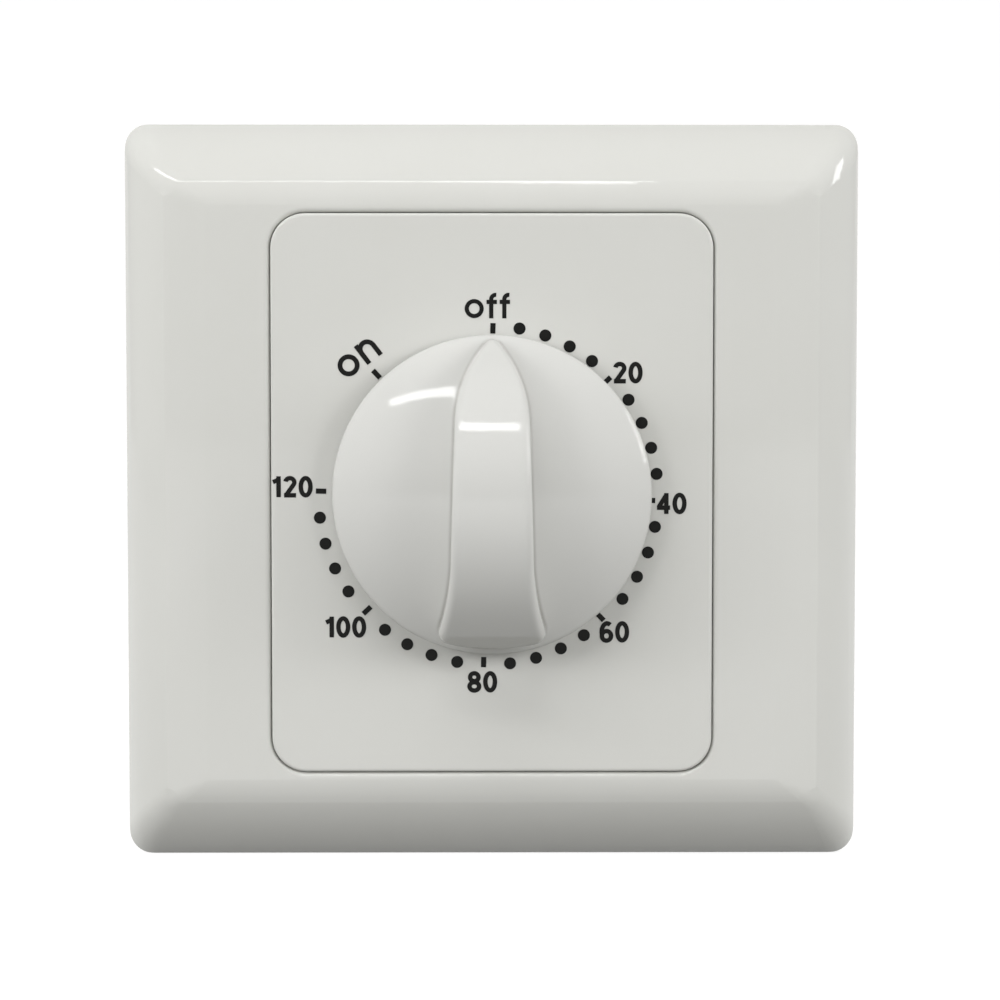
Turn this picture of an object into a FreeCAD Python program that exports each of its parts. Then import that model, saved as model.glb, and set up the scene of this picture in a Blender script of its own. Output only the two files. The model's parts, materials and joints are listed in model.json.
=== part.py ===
"""Countdown timer switch for a wall box: a clockwork movement behind a two-piece wall plate.

Millimetres. +Z is up, the front faces -Y and the wall is the plane y = 0, so a height in front
of the wall is a negative Y. The origin lies in the wall plane on the knob's axis.
"""

import FreeCAD, Part
import Sketcher
import math
import os
import re

SIZES = {
    # Surround: a moulded frame with convex bevels round a window
    "plate_width": 86.0,
    "plate_height": 86.0,
    "plate_corner": 2.6,
    "rim_depth": 2.2,
    "crest_depth": 8.6,
    "shoulder_drop": 0.62,
    "shoulder_ease": 1.25,
    "side_bevel": 5.2,
    "bevel_radius": 11.5,
    "end_shoulder": 2.8,
    "end_radius": 18.2,
    "side_slope": 4.8,
    "mitre_round": 3.8,
    "surround_wall": 1.8,
    "window_gap": 0.1,
    "window_lip": 0.8,
    "window_roll": 0.6,
    "window_skirt": 1.2,
    "seat_gap": 0.05,
    # Claws that hold the surround on the flange
    "claw_width": 6.0,
    "claw_thickness": 1.2,
    "claw_offset": 20.0,
    "claw_nib": 0.5,
    "claw_ledge": 1.2,
    "claw_play": 0.3,
    "claw_root": 1.2,
    # Face plate: the dial panel and the mounting flange behind the surround
    "insert_margin": 0.2,
    "end_margin": 10.7,
    "insert_corner": 4.0,
    "insert_front": 8.8,
    "insert_edge": 0.35,
    "insert_wall": 2.0,
    "flange_thickness": 2.4,
    "flange_gap": 0.3,
    "coring_width": 43.0,
    "rib": 1.5,
    "screw_spacing": 60.3,
    "slot_radius": 2.2,
    "slot_length": 7.0,
    "dial_hole_radius": 5.0,
    # Knob
    "knob_radius": 18.3,
    "knob_gap": 0.6,
    "knob_rim": 2.4,
    "dome_rise": 6.6,
    "bar_rise": 12.9,
    "bar_lift": 0.5,
    "bar_tip": 0.8,
    "bar_shoulder": 4.15,
    "bar_waist": 4.6,
    "shoulder_z": 8.8,
    "waist_z": 7.3,
    "shoulder_radius": 14.0,
    "flare_radius": 30.0,
    "bar_heel": 6.4,
    "bar_corner": 0.9,
    "heel_round": 1.3,
    "bar_edge": 0.9,
    "knob_edge": 0.7,
    "knob_wall": 1.8,
    "knob_boss": 5.4,
    "clip_thickness": 0.3,
    "clip_width": 2.8,
    # Movement frame
    "movement_corner": 2.5,
    "movement_plate": 1.0,
    "movement_front": 5.0,
    "movement_space": 14.4,
    "pillar_x": 19.2,
    "pillar_z": 21.2,
    "plate_edge": 2.8,
    "pillar_radius": 2.0,
    "spigot_radius": 1.2,
    "fixing_spacing": 28.0,
    "fixing_radius": 1.45,
    "fixing_head": 2.8,
    "fixing_overrun": 0.6,
    "fixing_point": 0.3,
    "fixing_boss": 3.6,
    # Main arbor and what turns with it
    "arbor_radius": 3.0,
    "arbor_flat": 2.3,
    "arbor_nose": 20.6,
    "arbor_chamfer": 0.4,
    "collar_radius": 4.4,
    "collar_thickness": 0.45,
    "run_clearance": 0.05,
    "cut_margin": 0.1,
    "driver_slot": 0.9,
    "press_clearance": 0.01,
    "end_play": 0.1,
    "ratchet_radius": 5.2,
    "ratchet_teeth": 16,
    "ratchet_tooth": 0.9,
    "ratchet_thickness": 0.8,
    "hub_radius": 5.0,
    "hub_length": 1.0,
    "click_angle": 205.0,
    "click_reach": 8.9,
    "click_pin_radius": 0.7,
    "click_eye": 1.5,
    "click_thickness": 0.7,
    "click_nose": 3.4,
    "click_nose_gap": 0.2,
    "click_tip": 2.9,
    "click_bite": 0.25,
    "click_pin_head": 1.12,
    "click_pin_head_height": 0.35,
    "click_spring_thickness": 0.25,
    "click_spring_gap": 0.2,
    "click_foot_width": 1.2,
    "click_foot_low": 2.0,
    "click_foot_high": 0.9,
    "click_bend": 0.7,
    "click_bend_rise": 0.1,
    "click_leaf_end": 3.5,
    "click_leaf_reach": 0.9,
    # Gear train, from the dial to the escape wheel
    "great_teeth": 48,
    "great_module": 0.5,
    "second_leaves": 8,
    "second_teeth": 42,
    "second_module": 0.4,
    "third_leaves": 7,
    "third_teeth": 42,
    "third_module": 0.35,
    "escape_leaves": 7,
    "wheel_thickness": 0.8,
    "leaf_length": 1.8,
    "pinion_overhang": 0.4,
    "great_layer": 1.7,
    "second_layer": 6.4,
    "third_layer": 8.3,
    "escape_layer": 6.2,
    "second_angle": -140.0,
    "third_angle": -99.0,
    "train_arbor": 0.6,
    "train_pivot": 0.4,
    "tooth_root_ratio": 0.9,
    "wheel_addendum_ratio": 0.8,
    "wheel_dedendum_ratio": 1.15,
    "wheel_root_ratio": 0.7,
    "wheel_pitch_ratio": 0.58,
    "wheel_tip_ratio": 0.22,
    "pinion_addendum_ratio": 0.6,
    "pinion_dedendum_ratio": 1.2,
    "pinion_root_ratio": 0.46,
    "pinion_pitch_ratio": 0.44,
    "pinion_tip_ratio": 0.22,
    "crossing_rim_ratio": 2.4,
    "crossing_hub_ratio": 3.0,
    "spoke_ratio": 1.6,
    "spoke_count": 5,
    # Escapement
    "escape_teeth": 15,
    "escape_radius": 5.0,
    "escape_root": 3.7,
    "escape_tooth_back": 0.5,
    "escape_tooth_front": 0.3,
    "escape_tip": 0.08,
    "pallet_distance": 8.2,
    "pallet_angle": -24.0,
    "pallet_spread_angle": 42.0,
    "pallet_pin_radius": 0.3,
    "pallet_clearance": 0.15,
    "pallet_thickness": 0.8,
    "pallet_width": 1.8,
    "pallet_heel": 2.16,
    "pallet_pin_overrun": 0.2,
    "inertia_bar": 4.6,
    # Mainspring
    "spring_inner": 3.1,
    "spring_pitch": 1.0,
    "spring_turns": 8,
    "spring_strip": 0.35,
    "spring_width": 4.6,
    "spring_layer": 0.4,
    "spring_post": 1.0,
    # Cam, stop and contacts behind the movement
    "cam_radius": 7.5,
    "cam_thickness": 2.2,
    "cam_gap": 0.6,
    "on_angle": 45.0,
    "full_angle": 270.0,
    "notch_depth": 1.5,
    "notch_mouth": 2.7,
    "notch_floor": 0.9,
    "stop_radius": 9.4,
    "stop_pin_radius": 1.2,
    "stop_angle": 220.0,
    "stop_half_angle": 13.6,
    "ring_radius": 5.0,
    "ring_thickness": 0.6,
    "ring_gap": 2.4,
    "board_thickness": 2.0,
    "board_stand": 4.2,
    "board_inset": 0.5,
    "board_post_inset": 4.0,
    "board_post_drop": 2.0,
    "board_post": 2.6,
    "board_screw": 1.1,
    "board_screw_head": 2.1,
    "board_post_x": 13.0,
    "strip_thickness": 0.4,
    "strip_width": 2.8,
    "leaf_height": 8.3,
    "leaf_root": 20.0,
    "leaf_end": 15.5,
    "follower_half": 1.7,
    "follower_drop": 1.7,
    "follower_bend": 0.2,
    "follower_wall": 0.52,
    "contact_gap": 1.1,
    "contact_radius": 1.3,
    "contact_height": 0.5,
    "contact_x": 12.5,
    "tail_width": 2.6,
    # Terminals
    "terminal_x": 9.0,
    "terminal_rise": 8.0,
    "terminal_width": 7.0,
    "terminal_depth": 6.1,
    "terminal_length": 9.0,
    "wire_radius": 1.7,
    "clamp_screw_radius": 1.25,
    "clamp_head_radius": 2.6,
    "clamp_head": 1.7,
    "pocket_wall": 1.2,
    "pocket_height": 4.7,
    # Rear casing
    "casing_corner": 3.0,
    "movement_play_x": 1.7,
    "movement_play_z": 1.4,
    "terminal_play": 0.3,
    "lug_reach": 4.3,
    "casing_wall": 1.6,
    "casing_edge": 1.0,
    "lug_radius": 3.2,
    "lug_z": 18.0,
    "lug_thickness": 2.6,
    "lug_boss": 2.4,
    "casing_screw": 1.0,
    "casing_screw_head": 2.0,
    "casing_screw_top": 1.6,
    "casing_screw_slot": 0.6,
    "casing_screw_length": 6.6,
    "wire_hole": 2.3,
    "driver_hole": 3.1,
    "vent_width": 1.4,
    "vent_length": 12.0,
    "vent_pitch": 3.4,
    "vent_count": 4,
}

doc = FreeCAD.newDocument("timer_switch")
sheet = doc.addObject("Spreadsheet::Sheet", "Sizes")
for row, (alias, number) in enumerate(SIZES.items(), start=1):
    sheet.set("A%d" % row, alias)
    sheet.set("B%d" % row, str(number))
    sheet.setAlias("B%d" % row, alias)
doc.recompute()

FUNCTIONS = ("sqrt", "sin", "cos", "asin", "deg")
SUB_PARTS = []
# Two lengths closer than this count as equal when an edge is looked up
CLOSE = 0.01

# Places and sizes that follow from the sheet
MOVEMENT_WIDTH = "(2 * (pillar_x + plate_edge))"
MOVEMENT_HEIGHT = "(2 * (pillar_z + plate_edge))"
CAVITY_WIDTH = "(%s + 2 * movement_play_x)" % MOVEMENT_WIDTH
CAVITY_HEIGHT = "(%s + 2 * movement_play_z)" % MOVEMENT_HEIGHT
CASING_WIDTH = "(%s + 2 * casing_wall)" % CAVITY_WIDTH
CASING_HEIGHT = "(%s + 2 * casing_wall)" % CAVITY_HEIGHT
INSERT_WIDTH = "(%s + 2 * insert_margin)" % CASING_WIDTH
INSERT_HEIGHT = "(plate_height - 2 * end_margin)"
WINDOW_WIDTH = "(%s + 2 * window_gap)" % INSERT_WIDTH
WINDOW_HEIGHT = "(%s + 2 * window_gap)" % INSERT_HEIGHT
RIM_WIDTH = "(plate_width - 2 * surround_wall)"
RIM_HEIGHT = "(plate_height - 2 * surround_wall)"
KNOB_BASE = "(insert_front + knob_gap)"
RIM_TOP = "(insert_front + knob_gap + knob_rim)"
DOME_RADIUS = "((knob_radius ^ 2 + dome_rise ^ 2) / (2 * dome_rise))"
DOME_TOP = "(insert_front + knob_gap + knob_rim + dome_rise)"
BAR_RADIUS = "((knob_radius ^ 2 + bar_rise ^ 2) / (2 * bar_rise))"
PLATE_BACK = "(movement_plate - movement_front)"
REAR_PLATE = "(movement_plate - movement_front + movement_space)"
REAR_FACE = "(2 * movement_plate - movement_front + movement_space)"
CAM_FRONT = "(2 * movement_plate - movement_front + movement_space + cam_gap)"
SECOND_MESH = "(great_module * (great_teeth + second_leaves) / 2)"
THIRD_MESH = "(second_module * (second_teeth + third_leaves) / 2)"
ESCAPE_MESH = "(third_module * (third_teeth + escape_leaves) / 2)"
GREAT_FRONT = "(0 - great_layer - wheel_thickness)"
BOARD_WIDTH = "(%s - 2 * board_inset)" % MOVEMENT_WIDTH
BOARD_HEIGHT = "(%s - 2 * board_inset)" % MOVEMENT_HEIGHT
BOARD_FRONT = "(%s + board_stand)" % REAR_FACE
BOARD_BACK = "(%s + board_thickness)" % BOARD_FRONT
TERMINAL_Z = "(terminal_rise - %s / 2)" % BOARD_HEIGHT
CLAMP_FRONT = "(%s + strip_thickness)" % BOARD_BACK
CLAMP_BACK = "(%s + terminal_depth)" % CLAMP_FRONT
WIRE_Y = "(%s + terminal_depth / 2)" % CLAMP_FRONT
FIXED_STRIP_Z = "(leaf_height + strip_thickness + 2 * contact_height + contact_gap)"
CASING_DEPTH = "(%s + terminal_play + casing_wall)" % CLAMP_BACK
LUG_X = "(%s / 2 + lug_reach)" % CASING_WIDTH


def formula(text):
    """Write a rule between sizes as an expression on the sheet."""
    return re.sub(r"[a-z][a-z0-9_]*", lambda word: word.group() if word.group() in FUNCTIONS
                  else "Sizes." + word.group(), text)


def value(text):
    """Work a rule out to a number."""
    result = sheet.evalExpression(formula(text))
    return float(getattr(result, "Value", result))


def bind(item, prop, text):
    """Let a property of an object follow a rule."""
    item.setExpression(prop, formula(text))


def place(item, x="0", y="0", z="0", turn="0"):
    """Put an object at a place, turned about its own Y axis."""
    item.Placement = FreeCAD.Placement(FreeCAD.Vector(), FreeCAD.Rotation(FreeCAD.Vector(0, 1, 0), 1))
    bind(item, "Placement.Base.x", x)
    bind(item, "Placement.Base.y", y)
    bind(item, "Placement.Base.z", z)
    bind(item, "Placement.Rotation.Angle", turn)


def new_body(label, x="0", y="0", z="0", turn="0"):
    """Start a sub-part as a body of its own."""
    body = doc.addObject("PartDesign::Body", label)
    body.Label = label
    place(body, x, y, z, turn)
    return body


def sub_part(item, label):
    """Name an object as one of the pieces that are written out."""
    item.Label = label
    SUB_PARTS.append(item)
    return item


def new_sketch(body, role, offset="0"):
    """Attach a sketch to a plane of the body's own origin, moved along its normal."""
    plane = [item for item in body.Origin.OriginFeatures if item.Role == role][0]
    sketch = body.newObject("Sketcher::SketchObject", body.Label + "_sketch")
    sketch.AttachmentSupport = [(plane, "")]
    sketch.MapMode = "FlatFace"
    bind(sketch, "AttachmentOffset.Base.z", offset)
    return sketch


def front_sketch(body, height="0"):
    """Sketch in the front view, at a height in front of the wall."""
    return new_sketch(body, "XZ_Plane", height)


def fix_point(sketch, geometry, vertex, x, y):
    """Hold a point of the sketch at a place that follows the sheet."""
    for kind, text in (("DistanceX", x), ("DistanceY", y)):
        index = sketch.addConstraint(Sketcher.Constraint(kind, -1, 1, geometry, vertex, value(text)))
        bind(sketch, "Constraints[%d]" % index, text)


def fix_radius(sketch, geometry, radius):
    """Hold the radius of an arc or circle."""
    index = sketch.addConstraint(Sketcher.Constraint("Radius", geometry, value(radius)))
    bind(sketch, "Constraints[%d]" % index, radius)


def arc_between(start, end, radius, turn):
    """Arc from start to end, with its centre on the left for a turn of 1 and on the right for -1."""
    chord = end - start
    left = FreeCAD.Vector(-chord.y, chord.x, 0).normalize()
    rise = math.sqrt(max(radius ** 2 - chord.Length ** 2 / 4, 0))
    centre = (start + end) * 0.5 + left * (rise * turn)
    first, last = (start, end) if turn > 0 else (end, start)
    angles = [math.atan2(point.y - centre.y, point.x - centre.x) for point in (first, last)]
    return Part.ArcOfCircle(Part.Circle(centre, FreeCAD.Vector(0, 0, 1), radius), *angles)


def draw(sketch, corners):
    """Close an outline. A corner is (x, y), or (x, y, radius, turn) where an arc leaves it."""
    points = [FreeCAD.Vector(value(corner[0]), value(corner[1]), 0) for corner in corners]
    made = []
    for index, corner in enumerate(corners):
        start = points[index]
        end = points[(index + 1) % len(points)]
        if len(corner) == 2:
            made.append((sketch.addGeometry(Part.LineSegment(start, end), False), 1))
        else:
            arc = arc_between(start, end, value(corner[2]), corner[3])
            made.append((sketch.addGeometry(arc, False), 1 if corner[3] > 0 else 2))
    for index, (geometry, vertex) in enumerate(made):
        following, following_vertex = made[(index + 1) % len(made)]
        sketch.addConstraint(Sketcher.Constraint(
            "Coincident", geometry, 3 - vertex, following, following_vertex))
        fix_point(sketch, geometry, vertex, corners[index][0], corners[index][1])
        if len(corners[index]) > 2:
            fix_radius(sketch, geometry, corners[index][2])


def circle(sketch, x, y, radius):
    """Add a circle."""
    ring = Part.Circle(FreeCAD.Vector(value(x), value(y), 0), FreeCAD.Vector(0, 0, 1), value(radius))
    geometry = sketch.addGeometry(ring, False)
    fix_point(sketch, geometry, 3, x, y)
    fix_radius(sketch, geometry, radius)


def rectangle(sketch, x, y, width, height):
    """Add a rectangle about a centre."""
    low_x, high_x = "%s - %s / 2" % (x, width), "%s + %s / 2" % (x, width)
    low_y, high_y = "%s - %s / 2" % (y, height), "%s + %s / 2" % (y, height)
    draw(sketch, [(low_x, low_y), (high_x, low_y), (high_x, high_y), (low_x, high_y)])


def rounded(sketch, x, y, width, height, radius):
    """Add a rectangle with round corners about a centre."""
    low_x, high_x = "%s - %s / 2" % (x, width), "%s + %s / 2" % (x, width)
    low_y, high_y = "%s - %s / 2" % (y, height), "%s + %s / 2" % (y, height)
    draw(sketch, [
        (low_x + " + " + radius, low_y), (high_x + " - " + radius, low_y, radius, 1),
        (high_x, low_y + " + " + radius), (high_x, high_y + " - " + radius, radius, 1),
        (high_x + " - " + radius, high_y), (low_x + " + " + radius, high_y, radius, 1),
        (low_x, high_y + " - " + radius), (low_x, low_y + " + " + radius, radius, 1)])


def slot(sketch, x, y, length, radius):
    """Add a level slot about a centre."""
    left, right = "%s - %s / 2" % (x, length), "%s + %s / 2" % (x, length)
    low, high = "%s - %s" % (y, radius), "%s + %s" % (y, radius)
    draw(sketch, [
        (left + " + " + radius, low), (right + " - " + radius, low, radius, 1),
        (right, y, radius, 1), (right + " - " + radius, high),
        (left + " + " + radius, high, radius, 1), (left, y, radius, 1)])


def d_outline(sketch, radius, flat):
    """Add a round outline with one flat towards +Z."""
    half = "sqrt(%s ^ 2 - %s ^ 2)" % (radius, flat)
    draw(sketch, [
        ("0 - " + half, flat, radius, 1), ("0 - " + radius, "0", radius, 1),
        ("0", "0 - " + radius, radius, 1), (radius, "0", radius, 1), (half, flat)])


def extrude(body, kind, sketch, length, towards_wall=False, both=False):
    """Pad or pocket a sketch by a length, towards the front unless told otherwise."""
    feature = body.newObject("PartDesign::" + kind, body.Label + "_" + kind.lower())
    feature.Profile = sketch
    if both:
        feature.SideType = "Symmetric"
    # A pocket runs against its sketch's normal by itself, and a pad runs along it
    feature.Reversed = towards_wall == (kind == "Pad")
    bind(feature, "Length", length)
    return feature


def pad(body, sketch, length, towards_wall=False, both=False):
    """Add material."""
    return extrude(body, "Pad", sketch, length, towards_wall, both)


def pocket(body, sketch, length, towards_wall=False, both=False):
    """Cut material away."""
    return extrude(body, "Pocket", sketch, length, towards_wall, both)


def turned(body, kind, corners):
    """Revolve (or groove) a half section, with x as radius and y along the body's Y axis."""
    sketch = new_sketch(body, "XY_Plane")
    draw(sketch, corners)
    feature = body.newObject("PartDesign::" + kind, body.Label + "_" + kind.lower())
    feature.Profile = sketch
    feature.ReferenceAxis = (sketch, ["V_Axis"])
    feature.Angle = 360
    return feature


def repeat_round(body, feature, sketch, count):
    """Repeat a feature round the sketch's normal."""
    pattern = body.newObject("PartDesign::PolarPattern", body.Label + "_pattern")
    pattern.Originals = [feature]
    pattern.Axis = (sketch, ["N_Axis"])
    pattern.Angle = 360
    bind(pattern, "Occurrences", count)
    body.Tip = pattern
    return pattern


def dress(body, kind, prop, size, wanted):
    """Fillet or chamfer the edges of the body's last feature that pass a test."""
    doc.recompute()
    base = body.Tip
    names = ["Edge%d" % (index + 1) for index, edge in enumerate(base.Shape.Edges) if wanted(edge)]
    feature = body.newObject("PartDesign::" + kind, body.Label + "_" + kind.lower())
    feature.Base = (base, names)
    bind(feature, prop, size)
    return feature


def lies_at(edge, axis, position):
    """True if the whole edge lies at one value of x, y or z."""
    low = getattr(edge.BoundBox, axis + "Min")
    high = getattr(edge.BoundBox, axis + "Max")
    return abs(low - position) < CLOSE and abs(high - position) < CLOSE


def group(label, master, places):
    """Show one piece at several places, as separate solids of one sub-part."""
    links = []
    for x, z in places:
        link = doc.addObject("App::Link", label + "_link")
        link.LinkedObject = master
        link.LinkTransform = True
        place(link, x, "0", z)
        links.append(link)
    compound = doc.addObject("Part::Compound", label)
    compound.Links = links
    return sub_part(compound, label)


def joined(label, kind, items):
    """Fuse objects, or cut the second from the first."""
    result = doc.addObject("Part::" + kind, label)
    if kind == "Cut":
        result.Base, result.Tool = items
    else:
        result.Shapes = items
    return result


def bevelled_mass(label, inset):
    """Solid frame form: a section that rolls off along X, cut to a bevelled section along Z."""
    body = new_body(label)
    top = "(plate_height / 2 - %s)" % inset
    side = "(plate_width / 2 - %s)" % inset
    rim = "(0 - rim_depth + %s / 2)" % inset
    crest = "(0 - crest_depth + %s)" % inset
    bend = "(%s + shoulder_drop)" % crest
    top_crest = "(%s / 2 + window_lip)" % WINDOW_HEIGHT
    top_bend = "(%s + end_shoulder)" % top_crest
    shoulder = "(shoulder_ease * (end_shoulder ^ 2 + shoulder_drop ^ 2) / (2 * shoulder_drop))"
    roll = "(end_radius - %s)" % inset
    along = new_sketch(body, "YZ_Plane")
    draw(along, [
        ("0", top), (rim, top, roll, 1), (bend, top_bend, shoulder, 1), (crest, top_crest),
        (crest, "0 - " + top_crest, shoulder, 1), (bend, "0 - " + top_bend, roll, 1),
        (rim, "0 - " + top), ("0", "0 - " + top)])
    pad(body, along, "2 * " + side, both=True)
    side_bend = "(plate_width / 2 - side_bevel - %s / 2)" % inset
    side_crest = "(plate_width / 2 - side_bevel - %s / 2 - side_slope)" % inset
    bevel = "(bevel_radius - %s)" % inset
    slope = "(shoulder_ease * (side_slope ^ 2 + shoulder_drop ^ 2) / (2 * shoulder_drop))"
    across = new_sketch(body, "XY_Plane")
    beyond = "(plate_width)"
    deeper = "(0 - 2 * crest_depth)"
    draw(across, [
        ("0 - " + beyond, rim), ("0 - " + side, rim, bevel, 1), ("0 - " + side_bend, bend, slope, 1),
        ("0 - " + side_crest, crest), (side_crest, crest, slope, 1), (side_bend, bend, bevel, 1),
        (side, rim), (beyond, rim), (beyond, deeper), ("0 - " + beyond, deeper)])
    pocket(body, across, "2 * plate_height", both=True)
    return body


def on_mitre(edge):
    """True for the ridges where the end and side bevels meet at the four corners."""
    box = edge.BoundBox
    return min(box.XLength, box.YLength, box.ZLength) > value("shoulder_drop") / 2


def surround_frame():
    """Decorative frame: a bevelled shell with a window, a skirt round it and four claws."""
    outer = bevelled_mass("surround_outside", "0")
    dress(outer, "Fillet", "Radius", "mitre_round", on_mitre)
    window = front_sketch(outer)
    rounded(window, "0", "0", WINDOW_WIDTH, WINDOW_HEIGHT, "(insert_corner + window_gap)")
    pocket(outer, window, "2 * crest_depth")
    corners = front_sketch(outer)
    rectangle(corners, "0", "0", "(2 * plate_width)", "(2 * plate_height)")
    rounded(corners, "0", "0", "plate_width", "plate_height", "plate_corner")
    pocket(outer, corners, "2 * crest_depth")
    recess = front_sketch(outer)
    rectangle(recess, "0", "0", RIM_WIDTH, RIM_HEIGHT)
    pocket(outer, recess, "flange_thickness + seat_gap")
    crest = -value("crest_depth")
    reach_x = value(WINDOW_WIDTH) / 2 + CLOSE
    reach_z = value(WINDOW_HEIGHT) / 2 + CLOSE
    dress(outer, "Fillet", "Radius", "window_roll",
          lambda edge: lies_at(edge, "Y", crest) and edge.BoundBox.XMax < reach_x
          and edge.BoundBox.XMin > -reach_x and edge.BoundBox.ZMax < reach_z
          and edge.BoundBox.ZMin > -reach_z)
    hollow = bevelled_mass("surround_hollow", "surround_wall")
    skirt = front_sketch(hollow)
    rounded(skirt, "0", "0", "(%s + 2 * window_skirt)" % WINDOW_WIDTH,
            "(%s + 2 * window_skirt)" % WINDOW_HEIGHT, "(insert_corner + window_gap + window_skirt)")
    pocket(hollow, skirt, "2 * crest_depth")
    shell = joined("surround_shell", "Cut", (outer, hollow))
    claws = [surround_claw(across, upward) for upward in (1, -1) for across in (1, -1)]
    sub_part(joined("surround_frame", "MultiFuse", [shell] + claws), "surround_frame")


def surround_claw(across, upward):
    """One claw: a tongue inside the rim, with a nib that grips the flange's ledge."""
    body = new_body("surround_claw")
    side = new_sketch(body, "YZ_Plane", "%d * claw_offset" % across)
    edge = "%d * (plate_height / 2 - surround_wall)" % upward
    face = "%d * (plate_height / 2 - surround_wall - claw_thickness)" % upward
    nib = "%d * (plate_height / 2 - surround_wall - claw_thickness - claw_nib)" % upward
    root = "(0 - rim_depth - claw_root)"
    hook = "(0 - flange_thickness + claw_ledge + seat_gap)"
    draw(side, [(root, edge), ("0", edge), ("0", face), (hook, nib), (hook, face), (root, face)])
    pad(body, side, "claw_width", both=True)
    return body


def face_plate():
    """Dial panel and mounting flange in one moulding, hollow behind for the movement."""
    body = new_body("face_plate")
    flange = front_sketch(body)
    rounded(flange, "0", "0", "(%s - 2 * flange_gap)" % RIM_WIDTH,
            "(%s - 2 * flange_gap)" % RIM_HEIGHT, "plate_corner")
    pad(body, flange, "flange_thickness")
    panel = front_sketch(body)
    rounded(panel, "0", "0", INSERT_WIDTH, INSERT_HEIGHT, "insert_corner")
    pad(body, panel, "insert_front")
    front = -value("insert_front")
    dress(body, "Fillet", "Radius", "insert_edge", lambda edge: lies_at(edge, "Y", front))
    bosses = front_sketch(body)
    for side in (1, -1):
        for level in (1, -1):
            circle(bosses, "%d * %s" % (side, LUG_X), "%d * lug_z" % level, "lug_boss")
    pad(body, bosses, "casing_screw_length - lug_thickness + 2 * casing_screw")
    inside = front_sketch(body)
    rectangle(inside, "0", "0", CAVITY_WIDTH, CAVITY_HEIGHT)
    pocket(body, inside, "insert_front - insert_wall")
    coring = front_sketch(body)
    for level in (1, -1):
        low = "(%s / 2 + rib)" % CAVITY_HEIGHT
        high = "(%s / 2 - rib)" % INSERT_HEIGHT
        rectangle(coring, "0", "%d * (%s + %s) / 2" % (level, low, high), "coring_width",
                  "(%s - %s)" % (high, low))
    pocket(body, coring, "insert_front - insert_wall")
    seats = front_sketch(body, "movement_front")
    for side in (1, -1):
        circle(seats, "%d * fixing_spacing / 2" % side, "0", "fixing_boss")
    pad(body, seats, "insert_front - insert_wall - movement_front")
    holes = front_sketch(body)
    circle(holes, "0", "0", "dial_hole_radius")
    for side in (1, -1):
        circle(holes, "%d * fixing_spacing / 2" % side, "0", "fixing_radius + run_clearance")
        slot(holes, "%d * screw_spacing / 2" % side, "0", "slot_length", "slot_radius")
    pocket(body, holes, "2 * insert_front")
    radius = value("fixing_radius + run_clearance")
    dress(body, "Chamfer", "Size", "fixing_head - fixing_radius",
          lambda edge: lies_at(edge, "Y", front) and abs(edge.BoundBox.XLength - 2 * radius) < CLOSE)
    screw_holes = front_sketch(body)
    for side in (1, -1):
        for level in (1, -1):
            circle(screw_holes, "%d * %s" % (side, LUG_X), "%d * lug_z" % level,
                   "casing_screw + press_clearance")
    pocket(body, screw_holes, "casing_screw_length - lug_thickness + casing_screw")
    notches = front_sketch(body)
    ledges = front_sketch(body)
    for level in (1, -1):
        for side in (1, -1):
            x = "%d * claw_offset" % side
            rectangle(notches, x, "%d * plate_height / 2" % level, "(claw_width + 2 * claw_play)",
                      "(2 * (surround_wall + claw_thickness + claw_play))")
            rectangle(ledges, x, "%d * plate_height / 2" % level, "(claw_width + 2 * claw_play)",
                      "(2 * (surround_wall + claw_thickness + claw_nib + claw_play))")
    pocket(body, notches, "flange_thickness")
    pocket(body, ledges, "flange_thickness - claw_ledge")
    sub_part(body, "face_plate")


def bar_outline(sketch):
    """Teardrop of the knob's grip: a narrow pointer end above, a flared heel below."""
    rim = "(knob_radius - bar_corner)"
    tip = "sqrt(%s ^ 2 - bar_tip ^ 2)" % rim
    heel = "(0 - sqrt(%s ^ 2 - bar_heel ^ 2))" % rim
    draw(sketch, [
        ("bar_tip", tip, "bar_tip * 1.25", 1),
        ("0 - bar_tip", tip, "shoulder_radius", 1), ("0 - bar_shoulder", "shoulder_z"),
        ("0 - bar_waist", "0 - waist_z", "flare_radius", -1), ("0 - bar_heel", heel, rim, 1),
        ("bar_heel", heel, "flare_radius", -1), ("bar_waist", "0 - waist_z"),
        ("bar_shoulder", "shoulder_z", "shoulder_radius", 1)])


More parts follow.
